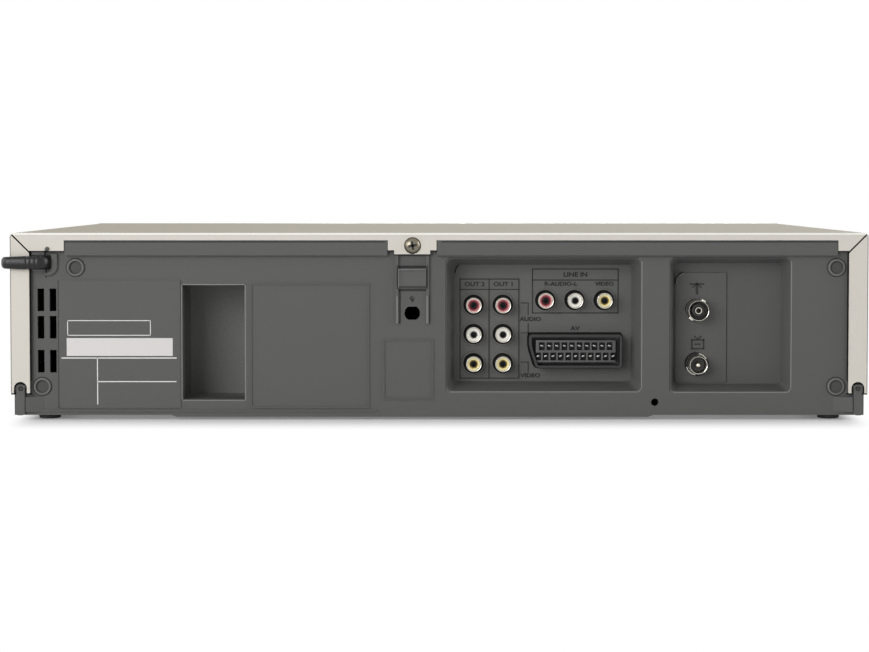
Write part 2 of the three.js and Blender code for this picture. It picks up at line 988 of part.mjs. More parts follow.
// Cover: a folded sheet, with a rear flange of strip, tabs and side flanges.
function buildCover() {
  const run = [panelBack + gap, rearPlane];
  const skin = (inset) => {
    const [left, right] = [half - inset, inset - half];
    const r = cover.fold - inset;
    const shape = new THREE.Shape();
    shape.moveTo(right, cover.sideBottom);
    shape.lineTo(left, cover.sideBottom);
    shape.lineTo(left, height - inset - r);
    shape.absarc(left - r, height - inset - r, r, 0, Math.PI / 2);
    shape.lineTo(right + r, height - inset);
    shape.absarc(right + r, height - inset - r, r, Math.PI / 2, Math.PI);
    return shape;
  };
  const outer = prism(skin(0), "y", run, 2);
  const through = [run[0] - overrun, rearPlane + overrun];
  const below = slab(
    [-half + cover.sheet, half - cover.sheet],
    through,
    [cover.sideBottom - overrun, height / 2],
  );
  const folded = cut(outer, prism(skin(cover.sheet), "y", through, 2), below);

  // The rear flange is one sheet with openings, cut from the cover's outline.
  const flange = [rearPlane - cover.sheet, rearPlane];
  const stripBottom = height - cover.rearStrip;
  const tab = (x, drop) => slab(x, flange, [height - drop, height - cover.sheet]);
  const flangeSolid = join(
    slab([-half, half], flange, [stripBottom, height]),
    slab([half - cover.sideFlange, half], flange, [cover.sideBottom, height]),
    slab([-half, -half + cover.sideFlange], flange, [cover.sideBottom, height]),
    tab([half - cover.leftTab, half - cover.sheet], cover.cornerDrop),
    tab([-half + cover.sheet, -half + cover.rightTab], cover.cornerDrop),
    tab(around(hook.centre, cover.centreTab), cover.centreTabDrop),
    tab(around(hook.centre, cover.tongue), cover.tongueDrop),
  ).intersect(outer);

  // Mitre slits run from the outer corners inward at 45 degrees, and notches clear the frame's lugs.
  const slit = (side) => {
    const bar = new THREE.BoxGeometry(cover.mitreReach * Math.SQRT2, cover.sheet * 3, cover.mitreSlit);
    bar.rotateY((-side * Math.PI) / 4);
    bar.translate(
      side * (half - cover.mitreReach / 2 - cover.fold / 2),
      rearPlane,
      height - cover.mitreReach / 2 - cover.fold / 2,
    );
    return toSolid(bar).intersect(
      slab([-width, width], [rearPlane - cover.sheet, rearPlane + overrun], [0, height]),
    );
  };
  const notch = (side) => {
    const x = around(side * (half - cover.notchInset), cover.notchWidth);
    return prism(
      roundRect(x, [cover.sideBottom - cover.notchWidth, cover.notchTop], cover.notchWidth / 2 - weld),
      "y",
      [rearPlane - cover.sheet - overrun, rearPlane + overrun],
    );
  };
  return cut(join(folded, flangeSolid), slit(1), slit(-1), notch(1), notch(-1));
}

addPiece(caseGroup, "main_frame", buildFrame(), finish.framePlastic);
addPiece(caseGroup, "top_cover", buildCover(), finish.coverPaint);

// Bottom plate with rows of cooling slots.
function buildBottomPlate() {
  const z = [frame.floorBottom - gap - bottomPlate.sheet, frame.floorBottom - gap];
  const plate = slab(
    [-half + bottomPlate.margin, half - bottomPlate.margin],
    [panelBack + bottomPlate.endInset, wallInner - gap - bottomPlate.endInset / 4],
    z,
  );
  const slots = [];
  for (const y of bottomPlate.slotRows) {
    for (const side of [-1, 1]) {
      for (let i = 0; i < bottomPlate.slotCount; i++) {
        const offset = (i - (bottomPlate.slotCount - 1) / 2) * bottomPlate.slotStep;
        const x = side * bottomPlate.slotCentre + offset;
        slots.push(
          slab(around(x, bottomPlate.slotWidth), around(y, bottomPlate.slotLength), [
            z[0] - overrun,
            z[1] + overrun,
          ]),
        );
      }
    }
  }
  return cut(plate, ...slots);
}
addPiece(caseGroup, "bottom_plate", buildBottomPlate(), finish.zinc);

const footTop = frame.floorBottom - gap;
const footSolid = revolve([
  [0, 0],
  [foot.radius - foot.chamfer, 0],
  [foot.radius, foot.chamfer],
  [foot.radius, footTop / 2],
  [foot.flare, footTop],
  [0, footTop],
], 12);
for (const [name, side, y] of [
  ["foot_front_left", 1, panelBack + foot.frontInset],
  ["foot_front_right", -1, panelBack + foot.frontInset],
  ["foot_rear_left", 1, rearPlane - foot.rearInset],
  ["foot_rear_right", -1, rearPlane - foot.rearInset],
]) {
  addPiece(caseGroup, name, footSolid, finish.rubber, [side * (half - foot.sideInset), y, 0]);
}

// Side profile of the front panel's face, moved back by an inset: flat above the ledge, bowed below it.
function faceProfile(inset, back) {
  const face = frontPlane + inset;
  const shape = new THREE.Shape();
  shape.moveTo(back, front.bottom);
  shape.lineTo(face + front.bulge, front.bottom);
  shape.quadraticCurveTo(face + front.bulge / 4, (front.bottom + front.ledge) / 3, face, front.ledge);
  shape.lineTo(face, height - front.topRound);
  shape.absarc(face + front.topRound, height - front.topRound, front.topRound, Math.PI, Math.PI / 2, true);
  shape.lineTo(back, height);
  return shape;
}

const boardFace = panelBack + gap; // front face of the front board, on the panel's posts
const boardSeats = [
  ...[-1, 1].map((side) => [side * frontBoard.postOuter, frontBoard.postLow]),
  ...[-1, 1].map((side) => [side * frontBoard.postOuter, frontBoard.postHigh]),
  ...[-1, 1].map((side) => [side * frontBoard.postInner, frontBoard.postMiddle]),
];
const slotX = around(slot.x, slot.width);
const windowX = around(windowSize.x, windowSize.width);

function buildFrontPanel() {
  const outer = prism(faceProfile(0, panelBack), "x", [-half, half], 5);
  const inner = prism(
    faceProfile(front.wall, panelBack + overrun),
    "x",
    [-half + front.wall, half - front.wall],
    5,
  ).intersect(
    slab(
      [-half, half],
      [frontPlane, panelBack + overrun],
      [front.bottom + front.wall, height - front.wall],
    ),
  );
  const through = [frontPlane - overrun, panelBack + overrun];
  const slotFrame = slab(
    [slotX[0] - slot.frame, slotX[1] + slot.frame],
    [frontPlane + front.wall - weld, panelBack],
    [slot.bottom - slot.frame, slot.top + slot.frame],
  );
  // Guides round the buttons' plungers.
  const guides = Object.values(buttons).map(({ x, z, width: w, height: h }) =>
    slab(
      around(x, w + (button.clearance + button.flangeThick) * 2),
      [frontPlane + front.wall - weld, frontPlane + button.cap - button.flangeThick - gap],
      around(z, h + (button.clearance + button.flangeThick) * 2),
    ),
  );
  const posts = boardSeats.map((seat) =>
    rod("y", frontBoard.postRadius, [frontPlane + front.wall - weld, panelBack], seat, 8),
  );
  const openings = Object.values(buttons).map(({ x, z, width: w, height: h }) =>
    prism(
      roundRect(
        around(x, w + button.clearance * 2),
        around(z, h + button.clearance * 2),
        button.round + button.clearance,
      ),
      "y",
      through,
    ),
  );
  const rockerOpening = slab(
    around(rocker.x, rocker.width + rocker.clearance * 2),
    through,
    around(rocker.z, rocker.height + rocker.clearance * 2),
  );
  const windowCut = cut(
    slab(
      [windowX[0] - windowSize.clearance, windowX[1] + windowSize.clearance],
      [frontPlane - overrun, frontPlane + front.wall + front.bulge],
      [windowSize.bottom - windowSize.clearance, windowSize.top + windowSize.clearance],
    ),
    prism(faceProfile(windowSize.thickness + gap, panelBack), "x", [-half, half], 5),
  );
  const windowHole = slab(
    [windowX[0] + windowSize.lip, windowX[1] - windowSize.lip],
    through,
    [windowSize.bottom + windowSize.lip, windowSize.top - windowSize.lip],
  );
  // Bearings of the door at the slot's upper corners, and of the rocker at its ends.
  const doorBearings = [-1, 1].map((side) =>
    rod(
      "x",
      door.hingeRadius + gap,
      side < 0
        ? [slotX[0] - door.pinReach - gap, slotX[0] + overrun]
        : [slotX[1] - overrun, slotX[1] + door.pinReach + gap],
      [doorPivot.y, doorPivot.z],
      12,
    ),
  );
  const rockerBearings = rod(
    "x",
    rocker.pivotRadius + gap,
    around(rocker.x, rocker.width + (rocker.clearance + door.pinReach + gap) * 2),
    [rockerPivotY, rocker.z],
    12,
  );
  const rockerFrame = slab(
    around(rocker.x, rocker.width + (rocker.clearance + door.pinReach + slot.frame) * 2),
    [frontPlane + front.wall - weld, rockerPivotY + rocker.pivotRadius + slot.frame],
    around(rocker.z, rocker.height + (rocker.clearance + slot.frame) * 2),
  );
  return cut(
    join(cut(outer, inner), slotFrame, rockerFrame, ...guides, ...posts),
    slab(slotX, through, [slot.bottom, slot.top]),
    ...openings,
    rockerOpening,
    windowCut,
    windowHole,
    ...doorBearings,
    rockerBearings,
  );
}
const doorPivot = {
  y: frontPlane + door.recess + door.thickness / 2,
  z: slot.top - door.clearance - door.hingeRadius,
};
const rockerPivotY = frontPlane + rocker.depth;
addPiece(frontGroup, "front_panel", buildFrontPanel(), finish.frontPlastic);

// The window follows the panel's bowed face.
const windowSolid = cut(
  prism(faceProfile(0, panelBack), "x", windowX, 5),
  prism(
    faceProfile(windowSize.thickness, panelBack + overrun),
    "x",
    [windowX[0] - overrun, windowX[1] + overrun],
    5,
  ),
).intersect(slab(windowX, [frontPlane - overrun, panelBack], [windowSize.bottom, windowSize.top]));
addPiece(frontGroup, "display_window", windowSolid, finish.smoke);

// Cassette door, built about its hinge at the top and turning inward.
function buildDoor() {
  const leaf = prism(
    roundRect(
      around(0, door.thickness),
      [slot.bottom + door.clearance - doorPivot.z, slot.top - door.clearance - doorPivot.z],
      door.thickness / 3,
    ),
    "x",
    [slotX[0] + door.clearance, slotX[1] - door.clearance],
    2,
  );
  const pinSpan = [slotX[0] - door.pinReach, slotX[1] + door.pinReach];
  const knuckle = rod("x", door.hingeRadius, pinSpan, [0, 0], 12);
  return join(leaf, knuckle);
}
addPiece(frontGroup, "cassette_door", buildDoor(), finish.frontPlastic, [0, doorPivot.y, doorPivot.z]);

// Buttons: a rounded cap, and a flange behind the guide that keeps it in.
for (const [name, { x, z, width: w, height: h }] of Object.entries(buttons)) {
  const cap = prism(
    roundRect(around(0, w), around(0, h), button.round),
    "y",
    [-button.proud, button.cap],
  );
  const flange = slab(
    around(0, w + button.flange * 2),
    [button.cap - button.flangeThick, button.cap],
    around(0, h + button.flange * 2),
  );
  addPiece(frontGroup, name, join(cap, flange), finish.frontPlastic, [x, frontPlane, z]);
}

// Channel rocker on a pin through its middle.
const rockerSolid = join(
  prism(
    roundRect(
      [-rocker.depth - button.proud, rocker.pivotRadius * 2],
      around(0, rocker.height),
      rocker.pivotRadius,
    ),
    "x",
    around(0, rocker.width),
  ),
  rod("x", rocker.pivotRadius, around(0, rocker.width + (rocker.clearance + door.pinReach) * 2), [0, 0], 12),
);
addPiece(frontGroup, "channel_rocker", rockerSolid, finish.frontPlastic, [rocker.x, rockerPivotY, rocker.z]);

// Front board: low across the middle, with a wing on each side of the slot and a switch behind each button.
function buildFrontBoard() {
  const back = boardFace + board.sheet;
  const span = half - frontBoard.margin;
  const sheet = prism(
    outline(
      [-span, frontBoard.bottom],
      [span, frontBoard.bottom],
      [span, frontBoard.top],
      [frontBoard.wingInner, frontBoard.top],
      [frontBoard.wingInner, frontBoard.ledge],
      [-frontBoard.wingInner, frontBoard.ledge],
      [-frontBoard.wingInner, frontBoard.top],
      [-span, frontBoard.top],
    ),
    "y",
    [back - board.sheet, back],
  );
  const stemEnd = frontPlane + button.cap + button.travel + gap;
  const places = [
    ...Object.values(buttons).map(({ x, z }) => [x, z, stemEnd]),
    [rocker.x, rocker.z, rockerPivotY + rocker.pivotRadius * 3],
  ];
  const switches = places.map(([x, z, end]) =>
    join(
      slab(
        around(x, frontBoard.switchSize),
        [end + frontBoard.switchStem, back],
        around(z, frontBoard.switchSize),
      ),
      rod("y", frontBoard.switchStem, [end, back], [x, z], 6),
    ),
  );
  const display = slab(
    [windowX[0] + windowSize.lip * 4, windowX[1] - windowSize.lip * 4],
    [frontPlane + front.wall + button.flange * 2, back],
    [windowSize.bottom + windowSize.lip, windowSize.top - windowSize.lip],
  );
  return join(sheet, display, ...switches);
}
addPiece(frontGroup, "display_board", buildFrontBoard(), finish.circuit);

// A block of phono sockets: housing, shells on their earth strip, cores on their carrier strip.
function buildSockets(block, seat) {
  const places = socketPlaces(block);
  const spanX = around(block.x, (block.columns - 1) * phono.pitch + phono.margin * 2);
  const spanZ = around(block.z, (block.rows - 1) * phono.pitch + phono.margin * 2);
  const frontFace = avFloorInner - gap;
  const backFace = frontFace - phono.housing;
  const stripFace = backFace - gap;
  const carrierFace = stripFace - phono.strip - gap;
  const tip = avFloor + phono.reach;
  const bore = phono.shellRadius - phono.shellWall;
  const coreSpan = [carrierFace - phono.strip, tip - phono.coreSink];
  const body = (z, y) => slab(spanX, y, z);
  const housing = places.reduce(
    (solid, [x, z]) =>
      cut(
        solid.add(rod("y", phono.collarRadius, [backFace, avFloor + phono.collarRaise], [x, z], phono.sides)),
        rod("y", phono.shellRadius + gap, [backFace - overrun, tip], [x, z], phono.sides),
      ),
    body([seat, spanZ[1]], [backFace, frontFace]),
  );
  const shells = places.reduce(
    (solid, [x, z]) =>
      cut(
        solid.add(rod("y", phono.shellRadius, [stripFace - phono.strip, tip], [x, z], phono.sides)),
        rod("y", bore, [stripFace - phono.strip - overrun, tip + overrun], [x, z], phono.sides),
      ),
    body(spanZ, [stripFace - phono.strip, stripFace]),
  );
  const cores = places.reduce(
    (solid, [x, z]) =>
      cut(
        solid.add(rod("y", bore - gap, coreSpan, [x, z], phono.sides)),
        rod("y", phono.coreBore, [tip - phono.coreBoreDepth, tip + overrun], [x, z], 12),
      ),
    body(spanZ, [carrierFace - phono.strip, carrierFace]),
  );
  return { housing, shells, cores };
}
const outBlock = buildSockets(outSockets, boardTop + gap);
addPiece(rearGroup, "rca_block_out", outBlock.housing, finish.blackPlastic);
addPiece(rearGroup, "rca_shells_out", outBlock.shells, finish.nickel);
addPiece(rearGroup, "rca_cores_out", outBlock.cores, finish.coreRed);

const scartBodyTop = scart.z + scart.height / 2 + scart.bodyMargin;
const inBlock = buildSockets(inSockets, scartBodyTop + gap);
addPiece(rearGroup, "rca_block_in", inBlock.housing, finish.blackPlastic);
addPiece(rearGroup, "rca_shells_in", inBlock.shells, finish.nickel);
addPiece(rearGroup, "rca_cores_in", inBlock.cores, finish.coreRed);

// The 21-way socket: a shell round a tongue with two rows of contact slots, on a body down to the board.
function buildScart() {
  const face = avFloor + scart.reach;
  const bodyFront = avFloorInner - gap;
  const grown = scart.width / 2 + scart.bodyMargin;
  const shell = prism(scartShape(0), "y", [bodyFront - weld, face]);
  const cavity = prism(scartShape(-scart.wall), "y", [face - scart.cavity, face + overrun]);
  const tongue = slab(
    around(scart.x, scart.tongueWidth),
    [face - scart.cavity - weld, face - scart.tongueSink],
    around(scart.z, scart.tongueHeight),
  ).intersect(prism(scartShape(-scart.wall * 2), "y", [bodyFront, face + overrun]));
  const body = slab(
    [scart.x - grown, scart.x + grown],
    [bodyFront - scart.bodyDepth, bodyFront],
    [boardTop + gap, scartBodyTop],
  );
  const contacts = [];
  for (const [row, count] of [
    [1, scart.topContacts],
    [-1, scart.topContacts + 1],
  ]) {
    for (let i = 0; i < count; i++) {
      const x = scart.x + (i - (count - 1) / 2) * scart.contactPitch;
      const z = scart.z + (row * scart.contactRows) / 2;
      contacts.push(
        slab(
          around(x, scart.contactWidth),
          [face - scart.tongueSink - scart.contactDepth, face + overrun],
          around(z, scart.contactHeight),
        ),
      );
    }
  }
  return cut(join(body, cut(shell, cavity), tongue), ...contacts);
}
addPiece(rearGroup, "scart_socket", buildScart(), finish.blackPlastic);

// Tuner can with its two aerial sockets: a hollow one for the aerial, one with a pin for the television.
const canFront = aerialFloorInner - gap;
function buildTuner() {
  const x = around(tuner.x, tuner.width);
  const y = [tuner.back, canFront];
  const z = [boardTop + gap, boardTop + gap + tuner.height];
  const lidSeam = cut(
    slab(
      [x[0] - overrun, x[1] + overrun],
      [y[0] - overrun, y[1] + overrun],
      around(z[1] - tuner.lid, tuner.seam),
    ),
    slab(
      [x[0] + tuner.seamDepth, x[1] - tuner.seamDepth],
      [y[0] + tuner.seamDepth, y[1] - tuner.seamDepth],
      z,
    ),
  );
  return cut(slab(x, y, z), lidSeam);
}
addPiece(rearGroup, "tuner_box", buildTuner(), finish.zinc);

function buildAerialSocket(hasPin) {
  const tip = aerial.reach + aerialRecess.floor;
  const base = aerialRecess.floor + aerialRecess.plateRaise + aerial.collar;
  const cupFloor = tip - aerial.cup;
  const pin = hasPin
    ? [
        [0, tip - aerial.wall],
        [aerial.centrePin, tip - aerial.wall],
        [aerial.centrePin, cupFloor],
      ]
    : [
        [0, cupFloor],
        [aerial.pinBore, cupFloor],
        [aerial.pinBore, tip - aerial.wall * 2],
        [aerial.pinRadius, tip - aerial.wall * 2],
        [aerial.pinRadius, cupFloor],
      ];
  return revolve(
    [
      [0, 0],
      [aerial.collarRadius, 0],
      [aerial.collarRadius, base],
      [aerial.radius, base + aerial.wall],
      [aerial.radius, tip],
      [aerial.radius - aerial.wall, tip],
      [aerial.radius - aerial.wall, cupFloor],
      ...pin.reverse(),
    ],
    aerial.sides,
  );
}
for (const [name, z, hasPin] of [
  ["aerial_in", aerial.inHeight, false],
  ["rf_out", aerial.outHeight, true],
]) {
  addPiece(
    rearGroup,
    name,
    buildAerialSocket(hasPin),
    finish.nickel,
    [tuner.x, canFront + gap, z],
    [-Math.PI / 2, 0, 0],
  );
}

// Main board, cut back round the power supply and the pocket, with holes for the deck's posts.
function buildMainBoard() {
  const left = half - mainBoard.leftInset;
  const inner = supply.x - supply.width / 2 - gap * 4;
  const sheet = prism(
    outline(
      [mainBoard.right, mainBoard.front],
      [left, mainBoard.front],
      [left, supply.front - gap * 4],
      [inner, supply.front - gap * 4],
      [inner, mainBoard.back],
      [mainBoard.right, mainBoard.back],
    ),
    "z",
    [board.height, boardTop],
  );
  const holes = deckPosts.map((place) =>
    rod("z", mainBoard.postHole, [board.height - overrun, boardTop + overrun], place, 8),
  );
  const tail = slab(
    [tuner.x - tuner.width / 2, outSockets.x + phono.margin + phono.pitch],
    [mainBoard.back - weld, avFloorInner - gap],
    [board.height, boardTop],
  );
  return cut(sheet.add(tail), ...holes);
}
addPiece(boardGroup, "main_board", buildMainBoard(), finish.circuit);

// Power board with its transformer, heat sink and capacitor.
const supplyTop = supply.height + board.sheet;
addPiece(
  boardGroup,
  "power_board",
  slab(around(supply.x, supply.width), [supply.front, supply.back], [supply.height, supplyTop]),
  finish.circuit,
);

function buildTransformer() {
  const core = slab(around(0, transformer.core), around(0, transformer.stack), [
    transformer.foot,
    transformer.coreHeight,
  ]);
  const legs = [-1, 1].map((side) =>
    slab(
      around(side * transformer.legX, transformer.legWidth),
      around(0, transformer.legDepth),
      [0, transformer.foot + weld],
    ),
  );
  const winding = rod(
    "y",
    transformer.bobbin / 2,
    around(0, transformer.bobbinLength),
    [0, (transformer.coreHeight + transformer.foot) / 2],
    transformer.sides,
  );
  return join(core, winding, ...legs);
}
addPiece(boardGroup, "transformer", buildTransformer(), finish.ferrite, [
  transformer.x,
  transformer.y,
  supplyTop + gap,
]);

function buildHeatsink() {
  const web = slab(around(0, heatsink.web), around(0, heatsink.length), [0, heatsink.height]);
  const step = (heatsink.length - heatsink.finThick) / (heatsink.fins - 1);
  const fins = Array.from({ length: heatsink.fins }, (_, i) =>
    slab(
      [-heatsink.fin, 0],
      around((i - (heatsink.fins - 1) / 2) * step, heatsink.finThick),
      [0, heatsink.height],
    ),
  );
  return join(web, ...fins);
}
addPiece(boardGroup, "power_heatsink", buildHeatsink(), finish.aluminium, [
  heatsink.x,
  heatsink.y,
  supplyTop + gap,
]);

addPiece(
  boardGroup,
  "filter_capacitor",
  revolve(
    [
      [0, 0],
      [capacitor.radius, 0],
      [capacitor.radius, capacitor.crimpHeight - capacitor.crimp],
      [capacitor.radius - capacitor.crimp, capacitor.crimpHeight],
      [capacitor.radius, capacitor.crimpHeight + capacitor.crimp],
      [capacitor.radius, capacitor.height - capacitor.crimp],
      [capacitor.radius - capacitor.crimp, capacitor.height],
      [0, capacitor.height],
    ],
    capacitor.sides,
  ),
  finish.blackPlastic,
  [capacitor.x, capacitor.y, supplyTop + gap],
);

// Turns and moves a solid, for pieces that are cut by others which stand at another angle.
function placed(solid, position, rotation = [0, 0, 0]) {
  const geometry = toGeometry(solid);
  const matrix = new THREE.Matrix4().makeRotationFromEuler(new THREE.Euler(...rotation));
  return toSolid(geometry.applyMatrix4(matrix.setPosition(...position)));
}

// Reels, their gears and the idler between them; the idler drives the take-up reel.
const reelX = reel.spread / 2;
const reelPitch = pitchRadiusOf(reel.teeth);
const idlerDistance = reelPitch + pitchRadiusOf(idler.teeth) + gearTooth.play;
const idlerAngle = radians(idler.angle);
const idlerX = reelX + idlerDistance * Math.cos(idlerAngle);
const idlerY = reel.y + idlerDistance * Math.sin(idlerAngle);
const pinOf = (bore) => bore - deck.pinPlay;

// Guides run along straight slots toward the drum.
const guideRun = new THREE.Vector2(guide.endX - guide.startX, guide.endY - guide.startY);
const guideSlot = (side) => {
  const reach = guide.stem + guide.slotPlay;
  const slotShape = prism(
    roundRect([-reach, guideRun.length() + reach], around(0, reach * 2), reach - weld),
    "z",
    [-deck.sheet - overrun, overrun],
  );
  const angle = Math.atan2(guideRun.y, side * guideRun.x);
  return placed(slotShape, [side * guide.startX, guide.startY, 0], [0, 0, angle]);
};

// Pinch roller: its centre at the nip, and where the arm's swing leaves it at rest.
const nipReach = capstan.radius + pinch.radius + pinch.nip;
const nipX = capstan.x + nipReach * Math.cos(radians(pinch.nipAngle));
const nipY = capstan.y + nipReach * Math.sin(radians(pinch.nipAngle));
const armLength = Math.hypot(nipX - pinch.pivotX, nipY - pinch.pivotY);
const armAngle = Math.atan2(nipY - pinch.pivotY, nipX - pinch.pivotX) + radians(pinch.swing);

// Deck: a plate with the guides' slots, the bearings' holes and the fixed pins.
const wormPitch = Math.PI * gearTooth.module;
const wormY = cam.y + pitchRadiusOf(cam.teeth) + worm.radius - gearTooth.tip / 2;
const wormZ = cam.lift + cam.thick / 2;
function buildDeck() {
  const plate = slab([-deck.halfWidth, deck.halfWidth], [deck.front, deck.back], [-deck.sheet, 0]);
  const pins = [
    [-reelX, reel.y, reel.bore, reel.table + reel.disc],
    [reelX, reel.y, reel.bore, reel.table + reel.disc],
    [idlerX, idlerY, idler.bore, idler.height - gap],
    [cam.x, cam.y, cam.bore, cam.lift + cam.thick],
    [pinch.pivotX, pinch.pivotY, pinch.bore + deck.pinPlay, pinch.armHeight + pinch.arm],
  ];
  const holes = [
    guideSlot(1),
    guideSlot(-1),
    rod("z", capstan.bush + gap, [-deck.sheet - overrun, overrun], [capstan.x, capstan.y], 16),
  ];
  return join(
    cut(plate, ...holes),
    ...pins.map(([x, y, bore, top]) => rod("z", pinOf(bore), [-deck.sheet / 2, top], [x, y], 10)),
  );
}
addPiece(transport, "mecha_deck", buildDeck(), finish.zinc);

// Drum: a fixed lower half on a foot that stands level on the deck, and the upper half that spins on it.
const drumTilt = [0, radians(drum.tilt), 0];
const drumBase = [0, drum.y, drum.lift];
function buildLowerDrum() {
  const barrel = revolve(
    [
      [0, -drum.lift * 2],
      [drum.foot, -drum.lift * 2],
      [drum.foot, 0],
      [drum.radius, 0],
      [drum.radius, drum.lower],
      [drum.shaft + gap, drum.lower],
      [drum.shaft + gap, drum.lower - drum.shaftReach - gap],
      [0, drum.lower - drum.shaftReach - gap],
    ],
    drum.sides,
  );
  const belowDeck = slab([-width, width], [-depth, depth], [-height, gap]);
  return cut(placed(barrel, drumBase, drumTilt), belowDeck);
}
addPiece(transport, "lower_drum", buildLowerDrum(), finish.aluminium);

function buildUpperDrum() {
  const body = revolve(
    [
      [0, -drum.shaftReach],
      [drum.shaft, -drum.shaftReach],
      [drum.shaft, 0],
      [drum.radius, 0],
      [drum.radius, drum.upper],
      [drum.radius - drum.rim, drum.upper],
      [drum.radius - drum.rim, drum.upper - drum.cap],
      [drum.hub, drum.upper - drum.cap],
      [drum.hub, drum.upper],
      [0, drum.upper],
    ],
    drum.sides,
  );
  const windows = Array.from({ length: drum.heads }, (_, i) => {
    const notch = slab(
      [drum.radius - drum.headDepth, drum.radius + overrun],
      around(0, drum.headWidth),
      [-overrun, drum.headHeight],
    );
    return placed(notch, [0, 0, 0], [0, 0, ((i + 1 / 2) / drum.heads) * Math.PI * 2]);
  });
  return cut(body, ...windows);
}
const upperDrumBase = new THREE.Vector3(0, 0, drum.lower + drum.slit)
  .applyEuler(new THREE.Euler(...drumTilt))
  .add(new THREE.Vector3(...drumBase));
addPiece(transport, "upper_drum", buildUpperDrum(), finish.aluminium, upperDrumBase.toArray(), drumTilt);

// Capstan with its flywheel under the deck, running in the motor's bush.
const bore = capstan.radius + deck.pinPlay;
const motorPlate = -deck.sheet - gap;
addPiece(
  transport,
  "capstan_motor",
  revolve(
    [
      [bore, motorPlate - capstan.flangeThick],
      [capstan.flange, motorPlate - capstan.flangeThick],
      [capstan.flange, motorPlate],
      [capstan.bush, motorPlate],
      [capstan.bush, capstan.bushTop],
      [bore, capstan.bushTop],
      [bore, motorPlate - capstan.flangeThick],
    ],
    16,
  ),
  finish.zinc,
  [capstan.x, capstan.y, 0],
);
const rotorTop = motorPlate - capstan.flangeThick - gap;
addPiece(
  transport,
  "capstan",
  revolve(
    [
      [0, rotorTop - capstan.rotorDrop],
      [capstan.radius * 3, rotorTop - capstan.rotorDrop],
      [capstan.radius * 3, rotorTop - capstan.rotorThick],
      [capstan.rotor, rotorTop - capstan.rotorThick],
      [capstan.rotor, rotorTop],
      [capstan.radius, rotorTop],
      [capstan.radius, capstan.top],
      [0, capstan.top],
    ],
    16,
  ),
  finish.steel,
  [capstan.x, capstan.y, 0],
);

// Pinch arm on its pivot, with the roller's pin at its end.
function buildPinchArm() {
  const bar = prism(
    roundRect([-pinch.boss, armLength + pinch.boss], around(0, pinch.boss * 2), pinch.boss - weld),
    "z",
    [pinch.armHeight, pinch.armHeight + pinch.arm],
  );
  const boss = rod("z", pinch.boss, [gap, pinch.armHeight + pinch.arm / 2], [0, 0], 16);
  const pin = rod(
    "z",
    pinch.pin,
    [pinch.armHeight + pinch.arm / 2, tapeHeight + pinch.height / 2 + pinch.cap],
    [armLength, 0],
    12,
  );
  const boreSpan = [0, pinch.armHeight + pinch.arm + overrun];
  const pivotBore = rod("z", pinch.bore + deck.pinPlay, boreSpan, [0, 0], 12);
  return cut(join(bar, boss, pin), pivotBore);
}
addPiece(
  transport,
  "pinch_arm",
  buildPinchArm(),
  finish.steel,
  [pinch.pivotX, pinch.pivotY, 0],
  [0, 0, armAngle],
);
const rollerBore = pinch.pin + deck.pinPlay;
addPiece(
  transport,
  "pinch_roller",
  revolve(
    [
      [rollerBore, -pinch.height / 2 - pinch.cap],
      [pinch.pin * 2, -pinch.height / 2 - pinch.cap],
      [pinch.pin * 2, -pinch.height / 2],
      [pinch.radius, -pinch.height / 2],
      [pinch.radius, pinch.height / 2],
      [pinch.pin * 2, pinch.height / 2],
      [rollerBore, pinch.height / 2],
      [rollerBore, -pinch.height / 2 - pinch.cap],
    ],
    16,
  ),
  finish.rubber,
  [
    pinch.pivotX + armLength * Math.cos(armAngle),
    pinch.pivotY + armLength * Math.sin(armAngle),
    tapeHeight,
  ],
);

// Reel: gear, disc and table, with a winged spindle that the cassette's hub drops over.
function buildReel(phase) {
  const gearTop = reel.gearBottom + reel.gearThick;
  const body = join(
    gear(reel.teeth, [reel.gearBottom, gearTop], phase),
    rod("z", reel.hub, [gap, reel.table], [0, 0], 12),
    rod("z", reel.discRadius, [gearTop - weld, gearTop + reel.disc], [0, 0], 20),
    rod("z", reel.spindle, [reel.table - weld, reel.spindleTop], [0, 0], 12, reel.spindleTip),
    ...Array.from({ length: reel.wings }, (_, i) =>
      placed(
        slab([0, reel.wingReach], around(0, reel.wingWidth), [reel.table - weld, reel.wingTop]),
        [0, 0, 0],
        [0, 0, (i / reel.wings) * Math.PI * 2],
      ),
    ),
  );
  return cut(body, rod("z", reel.bore, [-overrun, reel.table + reel.disc + gap], [0, 0], 10));
}
const takeupPhase = (idlerAngle * reel.teeth) / (Math.PI * 2);
const idlerPhase = ((idlerAngle + Math.PI) * idler.teeth) / (Math.PI * 2) - 1 / 2;
addPiece(transport, "supply_reel", buildReel(0), finish.whitePlastic, [-reelX, reel.y, 0]);
addPiece(transport, "takeup_reel", buildReel(takeupPhase), finish.whitePlastic, [reelX, reel.y, 0]);

const idlerSolid = cut(
  join(
    gear(idler.teeth, [reel.gearBottom, reel.gearBottom + reel.gearThick], idlerPhase),
    rod("z", idler.hub, [gap, idler.height], [0, 0], 12),
  ),
  rod("z", idler.bore, [-overrun, idler.height + overrun], [0, 0], 10),
);
addPiece(transport, "reel_idler", idlerSolid, finish.whitePlastic, [idlerX, idlerY, 0]);

